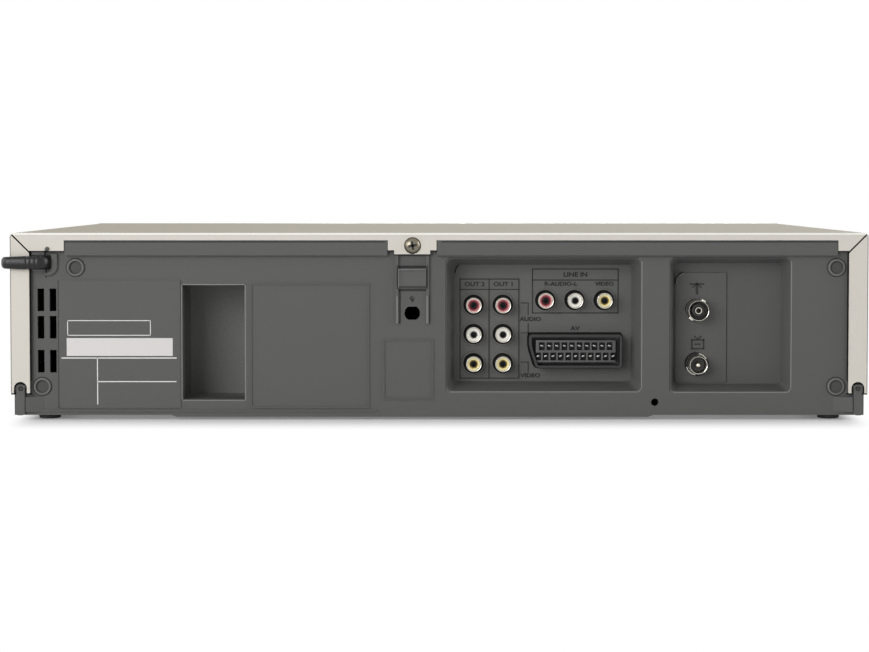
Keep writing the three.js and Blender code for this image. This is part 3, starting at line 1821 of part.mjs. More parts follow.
// Cam gear with a spiral track on its top, turned by the worm on the loading motor's shaft.
function buildCamGear() {
  const top = cam.lift + cam.thick;
  const pitch = pitchRadiusOf(cam.teeth);
  const trackRadius = (pitch + cam.hub) / 2;
  const track = ring(
    "z",
    trackRadius + cam.trackWidth / 2,
    trackRadius - cam.trackWidth / 2,
    [top - cam.trackDepth, top + overrun],
    [cam.trackWidth / 4, 0],
    20,
  );
  const blank = cut(gear(cam.teeth, [cam.lift, top]), track);
  const hub = rod("z", cam.hub, [gap, top], [0, 0], 12);
  return cut(join(blank, hub), rod("z", cam.bore, [-overrun, top + overrun], [0, 0], 10));
}
addPiece(transport, "cam_gear", buildCamGear(), finish.whitePlastic, [cam.x, cam.y, 0]);

// Worm: columns of points round the Z axis, which step out from the core wherever the thread passes.
// They start half a turn round, so that a gap of the thread meets the gear's tooth.
const wormHalf = (worm.turns / 2) * wormPitch;
function wormScrew() {
  const coreEnd = wormHalf + wormPitch / 2;
  const positions = [];
  const faces = [];
  const corner = (radius, column, z) => {
    const angle = (column / worm.steps + 1 / 2) * Math.PI * 2;
    return positions.push(radius * Math.cos(angle), radius * Math.sin(angle), z) / 3 - 1;
  };
  const crossing = (column, turn) =>
    [
      [worm.core, -worm.rootShare],
      [worm.radius, -worm.tipShare],
      [worm.radius, worm.tipShare],
      [worm.core, worm.rootShare],
    ].map(([radius, share]) =>
      corner(radius, column, (turn + column / worm.steps - worm.turns / 2 + share) * wormPitch),
    );
  const fan = ([first, ...rest]) => {
    for (let i = 1; i < rest.length; i++) faces.push(first, rest[i - 1], rest[i]);
  };
  const columns = Array.from({ length: worm.steps }, (_, i) => ({
    low: corner(worm.core, i, -coreEnd),
    high: corner(worm.core, i, coreEnd),
    crossings: Array.from({ length: worm.turns + (i ? 0 : 1) }, (_, turn) => crossing(i, turn)),
  }));
  columns.forEach((here, i) => {
    const last = i === worm.steps - 1;
    const next = columns[last ? 0 : i + 1];
    const left = here.crossings.slice(0, worm.turns).flat();
    const right = next.crossings.slice(last ? 1 : 0).flat();
    const first = next.crossings[0];
    const past = i ? [] : here.crossings[worm.turns];
    fan([here.low, next.low, ...(last ? [first[0], first[3]] : []), right[0], left[0]]);
    for (let k = 1; k < left.length; k++) fan([left[k - 1], right[k - 1], right[k], left[k]]);
    fan([next.high, here.high, ...(i ? [] : [past[3], past[0]]), left.at(-1), right.at(-1)]);
  });
  const [start] = columns[0].crossings;
  const stop = columns[0].crossings[worm.turns];
  fan(start);
  fan([...stop].reverse());
  fan(columns.map(({ low }) => low).reverse());
  fan(columns.map(({ high }) => high));
  const body = new THREE.BufferGeometry();
  body.setAttribute("position", new THREE.Float32BufferAttribute(positions, 3));
  body.setIndex(faces);
  return toSolid(body);
}
const motorFace = wormHalf + worm.neck;
const wormSolid = join(
  wormScrew(),
  rod("z", worm.shaft, [0, motorFace + worm.reach], [0, 0], 8),
);
const alongX = [Math.PI / 2, 0, Math.PI / 2, "ZYX"];
addPiece(transport, "worm", wormSolid, finish.brass, [cam.x, wormY, wormZ], alongX);

const motorStart = cam.x + motorFace + gap;
const motorBody = cut(
  join(
    rod("x", motor.boss, [motorStart, motorStart + motor.bossLength + overrun], [wormY, wormZ], 16),
    rod(
      "x",
      motor.radius,
      [motorStart + motor.bossLength, motorStart + motor.bossLength + motor.length],
      [wormY, wormZ],
      motor.sides,
    ),
    slab(
      [motorStart + motor.bossLength, motorStart + motor.bossLength + motor.length],
      around(wormY, motor.baseWidth),
      [gap, motor.base],
    ),
  ),
  rod("x", motor.bore, [motorStart - overrun, motorStart + worm.reach + gap], [wormY, wormZ], 12),
);
addPiece(transport, "loading_motor", motorBody, finish.steel);

// Tape guides: a base on the deck, a stem through the slot, and a flanged roller on a post.
const guideSolid = (() => {
  const baseTop = gap + guide.baseThick;
  const rollerBottom = tapeHeight - guide.rollerHeight / 2;
  const rollerTop = tapeHeight + guide.rollerHeight / 2;
  const under = -deck.sheet - gap;
  return revolve(
    [
      [0, under - guide.washerThick],
      [guide.washer, under - guide.washerThick],
      [guide.washer, under],
      [guide.stem, under],
      [guide.stem, gap],
      [guide.base, gap],
      [guide.base, baseTop],
      [guide.post, baseTop],
      [guide.post, rollerBottom - guide.flangeThick],
      [guide.flange, rollerBottom - guide.flangeThick],
      [guide.flange, rollerBottom],
      [guide.roller, rollerBottom],
      [guide.roller, rollerTop],
      [guide.flange, rollerTop],
      [guide.flange, rollerTop + guide.flangeThick],
      [0, rollerTop + guide.flangeThick],
    ],
    10,
  );
})();
addPiece(transport, "entry_guide", guideSolid, finish.steel, [-guide.startX, guide.startY, 0]);
addPiece(transport, "exit_guide", guideSolid, finish.steel, [guide.startX, guide.startY, 0]);

// A magnetic head on its post and plate.
function buildHead(head) {
  const bottom = tapeHeight - head.height / 2;
  return join(
    slab(around(0, head.plate), around(0, head.plate), [gap, gap + head.plateThick]),
    rod("z", head.post, [gap + head.plateThick / 2, bottom + head.plateThick], [0, 0], 12),
    prism(
      roundRect(around(0, head.width), around(0, head.depth), head.depth / 4),
      "z",
      [bottom, bottom + head.height],
    ),
  );
}
for (const [name, head] of [
  ["audio_head", audioHead],
  ["erase_head", eraseHead],
]) {
  addPiece(transport, name, buildHead(head), finish.steel, [head.x, head.y, 0], [0, 0, radians(head.turn)]);
}

// Cassette holder: two folded sides with lips under the cassette, a top plate with a mouth, and rear stops.
const holderBack = holder.front + holder.length;
const holderPins = [holder.front + holder.pinInset, holderBack - holder.pinInset];
const yokeInner = holder.halfWidth + yoke.play;
const yokeOuter = yokeInner + yoke.sheet;
const carriageInner = yokeOuter + carriage.play;
function buildHolder() {
  const run = [holder.front, holderBack];
  const span = [-holder.halfWidth, holder.halfWidth];
  const inner = holder.halfWidth - holder.sheet;
  const shell = cut(
    slab(span, run, [holder.bottom, holder.top]),
    slab(
      [-inner, inner],
      [run[0] - overrun, run[1] + overrun],
      [holder.bottom + holder.sheet, holder.top - holder.sheet],
    ),
    slab(
      [holder.lip - holder.halfWidth, holder.halfWidth - holder.lip],
      [run[0] - overrun, run[1] + overrun],
      [holder.bottom - overrun, holder.bottom + holder.sheet + overrun],
    ),
    slab(around(0, holder.topCut), [run[0] - overrun, run[0] + holder.topCutDepth], [
      holder.top - holder.sheet - overrun,
      holder.top + overrun,
    ]),
  );
  const stops = [-1, 1].map((side) =>
    slab(
      around(side * (inner - holder.stopWidth), holder.stopWidth),
      [run[1] - holder.sheet, run[1]],
      [holder.top - holder.sheet - holder.stopDrop, holder.top - holder.sheet / 2],
    ),
  );
  const pins = holderPins.flatMap((y) => [
    rod("x", holder.pinRadius, [inner, yokeOuter - gap], [y, holder.pinHeight], 10),
    rod("x", holder.pinRadius, [gap - yokeOuter, -inner], [y, holder.pinHeight], 10),
  ]);
  return join(shell, ...stops, ...pins);
}
addPiece(transport, "cassette_holder", buildHolder(), finish.zinc);

// Yoke: a toothed slide on each side joined by a bar; upright slots let the holder down.
function buildYoke() {
  const run = [holder.front + yoke.play, holderBack];
  const pitch = (run[1] - run[0]) / yoke.teeth;
  const teeth = Array.from({ length: yoke.teeth }, (_, i) => {
    const y = run[0] + (i + 1 / 2) * pitch;
    return [
      [y - pitch / 4, yoke.bottom - yoke.toothHeight],
      [y + pitch / 4, yoke.bottom - yoke.toothHeight],
      [y + pitch / 2, yoke.bottom],
    ];
  }).flat();
  const side = outline([run[0], yoke.bottom], ...teeth, [run[1], yoke.top], [run[0], yoke.top]);
  const reach = holder.pinRadius + yoke.slotPlay;
  const uprightSlots = holderPins.map((y) =>
    prism(
      roundRect(
        around(y, reach * 2),
        [holder.pinHeight - yoke.drop - reach, holder.pinHeight + reach],
        reach - weld,
      ),
      "x",
      [-width, width],
    ),
  );
  const sides = join(
    prism(side, "x", [yokeInner, yokeOuter]),
    prism(side, "x", [-yokeOuter, -yokeInner]),
  );
  const bar = slab([-yokeOuter, yokeOuter], [run[0], run[0] + yoke.bar], [holder.top + yoke.play, yoke.top]);
  const pins = around((run[0] + run[1]) / 2, yoke.pinSpread).flatMap((y) => [
    rod("x", yoke.pinRadius, [yokeInner + gap, carriageInner + carriage.sheet], [y, yoke.pinHeight], 10),
    rod("x", yoke.pinRadius, [-carriageInner - carriage.sheet, -yokeInner - gap], [y, yoke.pinHeight], 10),
  ]);
  return join(cut(sides, ...uprightSlots), bar, ...pins);
}
addPiece(transport, "carriage_rack", buildYoke(), finish.whitePlastic);

// Carriage frame: two side plates standing on the deck, joined by a bridge at the front and at the back.
function buildCarriage() {
  const run = [carriage.front, carriage.back];
  const top = yoke.top + carriage.play + carriage.sheet;
  const outer = carriageInner + carriage.sheet;
  const middle = (holder.front + yoke.play + holderBack) / 2;
  const reach = yoke.pinRadius + yoke.slotPlay;
  const slotRun = [middle - yoke.pinSpread / 2 - reach, middle + yoke.pinSpread / 2 + yoke.slide + reach];
  const slotCut = prism(
    roundRect(slotRun, around(yoke.pinHeight, reach * 2), reach - weld),
    "x",
    [-width, width],
  );
  const plates = [-1, 1].flatMap((side) => [
    slab(side < 0 ? [-outer, -carriageInner] : [carriageInner, outer], run, [gap, top]),
    slab(
      side < 0 ? [-outer - carriage.foot, -carriageInner] : [carriageInner, outer + carriage.foot],
      [deck.front, run[1]],
      [gap, gap + carriage.footSheet],
    ),
  ]);
  const bridges = [
    slab([-outer, outer], [run[0], run[0] + carriage.bridge], [top - carriage.sheet, top]),
    slab([-outer, outer], [run[1] - carriage.bridge, run[1]], [top - carriage.sheet, top]),
  ];
  return join(cut(join(...plates), slotCut), ...bridges);
}
addPiece(transport, "carriage_frame", buildCarriage(), finish.zinc);

// Mains lead: points along straight runs and quarter bends, level with the hole that it comes out of.
const leadX = half + lead.bend;
const leadY = rearPlane + lead.sleeveThick + gap;
const leadEnd = rearPlane - lead.sleeveEnd;
const level = (x, y) => new THREE.Vector3(x, y, lead.exitZ);
const quarter = (radius, startAngle, steps) => {
  const centre = startAngle > Math.PI / 2 ? lead.exitX + radius : leadX - radius;
  return Array.from({ length: steps + 1 }, (_, i) => {
    const angle = startAngle - ((Math.PI / 2) * i) / steps;
    return level(centre + radius * Math.cos(angle), leadY - radius + radius * Math.sin(angle));
  });
};

// A tube of an outline carried along points, each section square to the run there and with one side level.
function sweep(points, section) {
  const positions = [];
  const faces = [];
  const count = section.length;
  points.forEach((point, i) => {
    const ahead = points[Math.min(i + 1, points.length - 1)];
    const behind = points[Math.max(i - 1, 0)];
    const along = ahead.clone().sub(behind).normalize();
    const side = new THREE.Vector3(-along.y, along.x, 0).normalize();
    const up = new THREE.Vector3().crossVectors(along, side);
    for (const { x, y } of section) {
      const corner = point.clone().addScaledVector(side, x).addScaledVector(up, y);
      positions.push(corner.x, corner.y, corner.z);
    }
    if (i === 0) return;
    for (let k = 0; k < count; k++) {
      const [a, b] = [(i - 1) * count + k, (i - 1) * count + ((k + 1) % count)];
      faces.push(a, b, b + count, a, b + count, a + count);
    }
  });
  const end = (points.length - 1) * count;
  for (let k = 1; k < count - 1; k++) {
    faces.push(0, k + 1, k, end, end + k, end + k + 1);
  }
  const body = new THREE.BufferGeometry();
  body.setAttribute("position", new THREE.Float32BufferAttribute(positions, 3));
  body.setIndex(faces);
  return toSolid(body);
}
const oval = (rx, ry, sides) =>
  Array.from({ length: sides }, (_, i) => {
    const angle = ((i + 1 / 2) / sides) * Math.PI * 2;
    return new THREE.Vector2(rx * Math.cos(angle), ry * Math.sin(angle));
  });

// Strain relief: a flat sleeve trapped behind the wall, grooved where it bends, ending past the corner.
function buildRelief() {
  const points = [
    level(lead.exitX, wallInner - lead.anchorDepth),
    ...quarter(lead.firstBend, Math.PI, 4),
    ...quarter(lead.bend, Math.PI / 2, 5),
    level(leadX, leadEnd),
  ];
  const sleeve = sweep(points, oval(lead.sleeveThick, lead.sleeveHigh, lead.reliefSides));
  const anchor = rod(
    "y",
    lead.anchor,
    [wallInner - lead.anchorDepth, wallInner - gap],
    [lead.exitX, lead.exitZ],
    lead.reliefSides,
  );
  const grooves = Array.from({ length: lead.ribs }, (_, i) => {
    const x = around(lead.exitX + lead.firstBend + i * lead.ribStep, lead.ribWidth);
    const y = [rearPlane, leadY + lead.sleeveThick + overrun];
    const rise = lead.sleeveHigh - lead.ribDepth;
    return [
      slab(x, y, [lead.exitZ + rise, lead.exitZ + lead.sleeveHigh + overrun]),
      slab(x, y, [lead.exitZ - lead.sleeveHigh - overrun, lead.exitZ - rise]),
    ];
  }).flat();
  return cut(join(sleeve, anchor), ...grooves);
}
addPiece(leadGroup, "strain_relief", buildRelief(), finish.sleeve);

// Coil: spirals in on the lower layer, climbs in the half turn at the middle, and spirals out on the upper.
const coilLow = lead.radius + tie.play + tie.thick;
const coilTurns = coil.turns * 2;
function coilPoint(turn) {
  const angle = Math.PI + turn * Math.PI * 2;
  const radius = coil.inner + coil.spacing * Math.abs(coil.turns - turn);
  const climbed = THREE.MathUtils.smoothstep(turn, coil.turns - coil.climb / 2, coil.turns + coil.climb / 2);
  return new THREE.Vector3(
    coil.x + radius * Math.cos(angle),
    coil.y + radius * Math.sin(angle),
    coilLow + climbed * coil.spacing,
  );
}
const coilStart = coilPoint(0);
const coilEnd = coilPoint(coilTurns);
const coilPoints = [
  coilStart.clone().add(new THREE.Vector3(0, coil.straight, 0)),
  ...Array.from({ length: coilTurns * coil.steps + 1 }, (_, i) => coilPoint(i / coil.steps)),
  ...coilTail.map((offset) => coilEnd.clone().add(new THREE.Vector3(...offset))),
];

// Length along points, and the least gap that a tube along them leaves to itself.
const lengthOf = (points) => points.reduce((sum, p, i) => (i ? sum + p.distanceTo(points[i - 1]) : 0), 0);
function leastGap(points, radius, skip) {
  let least = Infinity;
  for (let i = 0; i < points.length; i++) {
    for (let j = i + skip; j < points.length; j++) least = Math.min(least, points[i].distanceTo(points[j]));
  }
  return least - radius * 2;
}
const coilTube = sweep(coilPoints, oval(lead.radius, lead.radius, coil.sides));
addPiece(leadGroup, "power_cord_coil", coilTube, finish.rubber);

// Free run of the lead: down the side, forward along the floor, and round the front corner to the coil.
const routePoints = [
  level(leadX, leadEnd - gap),
  ...leadRoute.map((point) => new THREE.Vector3(...point)),
  coilPoints[0].clone().add(new THREE.Vector3(0, gap, 0)),
];
const route = new THREE.CatmullRomCurve3(routePoints);
const roundSection = new THREE.Shape(oval(lead.radius, lead.radius, lead.sides));
const cordTube = new THREE.ExtrudeGeometry(roundSection, { steps: lead.steps, extrudePath: route });
addPiece(leadGroup, "power_cord", toSolid(cordTube), finish.rubber);
console.log(
  "lead length",
  (route.getLength() + lengthOf(coilPoints)).toFixed(0),
  "coil's least gap to itself",
  leastGap(coilPoints, lead.radius, coil.steps / 2).toFixed(2),
);

// Tie round the coil's bundle, where all its turns lie in their two layers.
function buildTie() {
  const near = coil.x + coil.inner + coil.spacing / 2 - lead.radius;
  const far = coil.x + coil.inner + coil.spacing * (coil.turns - 1 / 2) + lead.radius;
  const ringShape = (grow) =>
    roundRect(
      [near - grow, far + grow],
      [coilLow - lead.radius - grow, coilLow + coil.spacing + lead.radius + grow],
      tie.round,
    );
  const span = around(coil.y, tie.width);
  return cut(
    prism(ringShape(tie.play + tie.thick), "y", span, 2),
    prism(ringShape(tie.play), "y", [span[0] - overrun, span[1] + overrun], 2),
  );
}
addPiece(leadGroup, "cord_tie", buildTie(), finish.blackPlastic);

// Flat two-pin mains plug, lying on the floor at the lead's end.
function buildPlug() {
  const middle = plug.thick / 2;
  const wide = roundRect(around(0, plug.width), [0, plug.thick], plug.round);
  const narrow = roundRect(
    around(0, plug.noseWidth),
    around(middle, plug.noseThick),
    plug.round,
  );
  const noseEnd = -plug.noseLength;
  const bodyEnd = noseEnd - plug.length;
  return join(
    loft(wide, narrow, "y", [noseEnd, 0]),
    prism(wide, "y", [bodyEnd, noseEnd + weld], 2),
    ...[-1, 1].map((side) =>
      rod(
        "y",
        plug.pinRadius,
        [bodyEnd - plug.pinLength, bodyEnd + overrun],
        [(side * plug.pinSpread) / 2, middle],
        10,
      ),
    ),
  );
}
const tailEnd = coilPoints[coilPoints.length - 1];
addPiece(leadGroup, "mains_plug", buildPlug(), finish.rubber, [tailEnd.x, tailEnd.y - gap, 0]);

export default recorder;
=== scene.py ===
import json
import math

import bmesh
import bpy
from mathutils import Matrix, Vector

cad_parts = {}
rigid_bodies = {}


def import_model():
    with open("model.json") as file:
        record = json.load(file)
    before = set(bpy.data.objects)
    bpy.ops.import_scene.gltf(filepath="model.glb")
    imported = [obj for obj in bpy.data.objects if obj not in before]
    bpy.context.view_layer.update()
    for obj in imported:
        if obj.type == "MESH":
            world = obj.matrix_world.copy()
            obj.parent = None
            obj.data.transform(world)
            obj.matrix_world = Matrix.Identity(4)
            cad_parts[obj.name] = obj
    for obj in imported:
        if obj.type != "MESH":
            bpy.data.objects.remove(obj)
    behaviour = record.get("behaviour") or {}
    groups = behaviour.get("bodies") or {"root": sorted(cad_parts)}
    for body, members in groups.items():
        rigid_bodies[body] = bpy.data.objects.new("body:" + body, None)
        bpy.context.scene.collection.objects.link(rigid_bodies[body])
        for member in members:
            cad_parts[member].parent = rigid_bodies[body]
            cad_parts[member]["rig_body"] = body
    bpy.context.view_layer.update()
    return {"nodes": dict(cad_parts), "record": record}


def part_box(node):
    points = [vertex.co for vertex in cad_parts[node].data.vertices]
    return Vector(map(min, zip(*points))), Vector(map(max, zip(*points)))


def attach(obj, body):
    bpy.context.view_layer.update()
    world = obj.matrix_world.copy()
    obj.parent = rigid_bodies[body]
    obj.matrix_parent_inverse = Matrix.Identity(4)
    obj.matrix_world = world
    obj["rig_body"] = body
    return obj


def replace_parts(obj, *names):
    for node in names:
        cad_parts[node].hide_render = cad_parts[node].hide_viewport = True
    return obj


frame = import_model()
nodes = frame["nodes"]
scene = bpy.context.scene
mm = 0.001
print("frame loaded:", len(nodes), "nodes")

# camera: behind the recorder, a little above its top and looking almost level
view = {
    "place": (0.00172, 1.22794, 0.11666),
    "yaw": 0.00055,
    "tilt": 0.04002,
    "settings": {
        "lens": 89.215, "sensor_width": 36, "shift_y": -0.06, "clip_start": 0.01, "clip_end": 60,
    },
}
camera = bpy.data.objects.new("camera", bpy.data.cameras.new("camera"))
scene.collection.objects.link(camera)
camera.location = view["place"]
camera.rotation_euler = (math.pi / 2 - view["tilt"], 0, math.pi + view["yaw"])
for key, value in view["settings"].items():
    setattr(camera.data, key, value)
scene.camera = camera
print("camera placed")

# depths of the wall and of the recesses, in millimetres, which the pieces below share
wall = {
    "face": 147.2,
    "rail": 148.6,
    "strip": 149.8,
    "flange": 150,
    "avFloor": 131.2,
    "aerialFloor": 134.2,
    "plateFace": 134.9,
}


def tone(red, green, blue):
    def linear(value):
        share = value / 255
        return share / 12.92 if share <= 0.04045 else ((share + 0.055) / 1.055) ** 2.4
    return (linear(red), linear(green), linear(blue), 1)


class Signal:  # one value socket, so that shader maths reads as arithmetic
    def __init__(self, sheet, socket):
        self.sheet = sheet
        self.socket = socket

    def combine(self, operation, *terms):
        return self.sheet.add("ShaderNodeMath", {"operation": operation}, dict(enumerate(terms)))

    def __add__(self, other):
        return self.combine("ADD", self, other)

    __radd__ = __add__

    def __sub__(self, other):
        return self.combine("SUBTRACT", self, other)

    def __rsub__(self, other):
        return self.combine("SUBTRACT", other, self)

    def __mul__(self, other):
        return self.combine("MULTIPLY", self, other)

    def __pow__(self, other):
        return self.combine("POWER", self, other)

    def __abs__(self):
        return self.combine("ABSOLUTE", self)

    def atLeast(self, low):
        return self.combine("MAXIMUM", self, low)

    def over(self, edge, soft):  # 0 below the edge, 1 above it
        sockets = {"Value": self, "From Min": edge - soft, "From Max": edge + soft}
        return self.sheet.add("ShaderNodeMapRange", {"clamp": True}, sockets)


class Sheet:  # the node tree of one finish, or of the world
    def __init__(self, name, owners=bpy.data.materials, shader="Principled BSDF"):
        self.material = owners.new(name)
        self.material.use_nodes = True
        self.tree = self.material.node_tree
        self.shader = self.tree.nodes[shader]
        self.place = self.add("ShaderNodeTexCoord", output="Object")

    def direct(self):  # 1 for rays of the camera, of reflections and through glass, else 0
        first, *rest = (
            self.add("ShaderNodeLightPath", output="Is " + kind + " Ray")
            for kind in ("Camera", "Glossy", "Transmission")
        )
        return sum(rest, first)

    def put(self, socket, value):
        if isinstance(value, Signal):
            self.tree.links.new(value.socket, socket)
        else:
            socket.default_value = value

    def add(self, kind, settings=None, sockets=None, output=0):
        node = self.tree.nodes.new(kind)
        for key, value in (settings or {}).items():
            setattr(node, key, value)
        for key, value in (sockets or {}).items():
            self.put(node.inputs[key], value)
        return Signal(self, node.outputs[output])

    def set(self, **sockets):
        for key, value in sockets.items():
            spaced = "".join(" " + letter if letter.isupper() else letter for letter in key)
            self.put(self.shader.inputs[spaced.strip().replace("I O R", "IOR")], value)

    def noise(self, scale, detail, rough, place=None):
        sockets = {"Scale": scale, "Detail": detail, "Roughness": rough}
        return self.add("ShaderNodeTexNoise", {}, {"Vector": place or self.place, **sockets})

    def stretch(self, scale, turn=(0, 0, 0)):
        sockets = {"Vector": self.place, "Scale": scale, "Rotation": turn}
        return self.add("ShaderNodeMapping", {}, sockets)

    def axis(self, index):
        return self.add("ShaderNodeSeparateXYZ", {}, {"Vector": self.place}, index)

    def mix(self, share, first, second):
        sockets = {0: share, 6: first, 7: second}
        return self.add("ShaderNodeMix", {"data_type": "RGBA"}, sockets, 2)

    def bump(self, height, depth):
        return self.add("ShaderNodeBump", {}, {"Height": height, "Distance": depth})


def shaded(colour, share):
    return tuple(value * share for value in colour[:3]) + (1,)


def finished(sheet, base, rough, height, depth, **more):
    sheet.set(BaseColor=base, Roughness=rough, Normal=sheet.bump(height, depth), **more)
    return sheet.material


def mouldedPlastic(name, colour, grain, depth, rough, gloss=0.4, deep=()):
    sheet = Sheet(name)
    fine = sheet.noise(grain, 3, 0.6)
    broad = sheet.noise(9, 3, 0.5)
    streak = sheet.noise(3, 4, 0.6, sheet.stretch((30, 30, 160)))
    mottle = sheet.noise(620, 2, 0.7)
    spread = (broad - 0.5) * 0.5 + (streak - 0.5) * 0.25 + (mottle - 0.5) * 0.7 + 0.5
    base = sheet.mix(spread, shaded(colour, 0.9), shaded(colour, 1.1))
    for edge, gain in deep:  # painted light and shade: paler, or darker, where a recess is deeper than the edge
        base = sheet.mix(1 - sheet.axis(1).over(edge, 0.0008), base, shaded(colour, gain))
    speckled = sheet.mix((fine - 0.5) * 0.9 + 0.5, shaded(colour, 0.94), base)
    rough += (fine - 0.5) * 0.16
    return finished(sheet, speckled, rough, fine, depth, SpecularIORLevel=gloss)


def paintedSteel(name, colour, dust, worn, fold):  # darker on top, dust and painted shade; a painted highlight along the rear fold
    sheet = Sheet(name)
    peel = sheet.noise(620, 2, 0.5)
    broad = sheet.noise(5, 3, 0.5)
    specks = sheet.noise(2400, 1, 0.5)
    base = sheet.mix(broad, shaded(colour, 0.965), shaded(colour, 1.03))
    # the band on top: dust and painted shade
    upper = sheet.axis(2).over(fold["top"] - fold["dusty"], 0.0001)
    dusty = sheet.mix(upper * (broad * 0.3 + 0.85), base, dust)
    # painted highlight: paler paint in a band along the rear fold at the top
    rear = sheet.axis(1).over(fold["rear"] - fold["pale"], 0.00015)
    high = sheet.axis(2).over(fold["top"] - fold["pale"], 0.00015)
    foldHighlight = sheet.mix(rear * high * (peel * 0.4 + 0.7), dusty, worn)
    flecked = sheet.mix(specks.over(0.66, 0.03) * 0.35, foldHighlight, shaded(colour, 0.72))
    rough = 0.8 + (peel - 0.5) * 0.15
    return finished(sheet, flecked, rough, peel + specks * 0.3, 0.00006, SpecularIORLevel=0.04)


def bareMetal(name, colour, rough, grain=(60, 60, 60)):
    sheet = Sheet(name)
    brushed = sheet.noise(4, 4, 0.65, sheet.stretch(grain))
    patches = sheet.noise(60, 3, 0.6)
    base = sheet.mix(patches, shaded(colour, 0.88), shaded(colour, 1.036))
    return finished(sheet, base, rough + (brushed - 0.5) * 0.2, brushed, 0.00002, Metallic=1)


def spangledZinc(name, colour):
    sheet = Sheet(name)
    cells = sheet.add("ShaderNodeTexVoronoi", {}, {"Vector": sheet.place, "Scale": 160}, 1)
    grey = sheet.add("ShaderNodeRGBToBW", {}, {"Color": cells})
    fine = sheet.noise(500, 3, 0.6)
    base = sheet.mix(grey, shaded(colour, 0.82), shaded(colour, 1.08))
    rough = 0.34 + grey * 0.14 + (fine - 0.5) * 0.1
    return finished(sheet, base, rough, fine, 0.00002, Metallic=0.9)


def softRubber(name, colour, rough, depth):
    sheet = Sheet(name)
    fine = sheet.noise(1500, 3, 0.6)
    dust = sheet.noise(45, 4, 0.6)
    base = sheet.mix(dust.over(0.56, 0.14) * 0.3, colour, shaded(colour, 1.9))
    return finished(sheet, base, rough + (fine - 0.5) * 0.2, fine, depth, SpecularIORLevel=0.4)


def circuitBoard(name, colour):
    sheet = Sheet(name)
    bricks = {"Vector": sheet.stretch((1, 1, 1), (0, 0, 0.785)), "Scale": 70, "Mortar Size": 0.06}
    tracks = sheet.add("ShaderNodeTexBrick", {}, bricks, 1)
    pads = sheet.add("ShaderNodeTexVoronoi", {}, {"Vector": sheet.place, "Scale": 240}, 0)
    dots = 1 - pads.over(0.22, 0.03)
    mask = sheet.mix(tracks, colour, shaded(colour, 1.35))
    base = sheet.mix(dots * 0.8, mask, tone(178, 176, 168))
    height = tracks + dots * 2
    return finished(sheet, base, 0.42 - dots * 0.12, height, 0.00005, SpecularIORLevel=0.5)


def smokedWindow(name, colour, haze):
    sheet = Sheet(name)
    film = sheet.noise(30, 2, 0.5)
    base = sheet.mix(film, colour, haze)
    sheet.set(BaseColor=base, Roughness=0.1 + film * 0.06, CoatWeight=0.15, CoatRoughness=0.05)
    return sheet.material


def printedInk(name, colour, rough):
    sheet = Sheet(name)
    grain = sheet.noise(1800, 2, 0.5)
    base = sheet.mix(grain, shaded(colour, 0.93), shaded(colour, 1.03))
    return finished(sheet, base, rough + (grain - 0.5) * 0.15, grain, 0.00001)


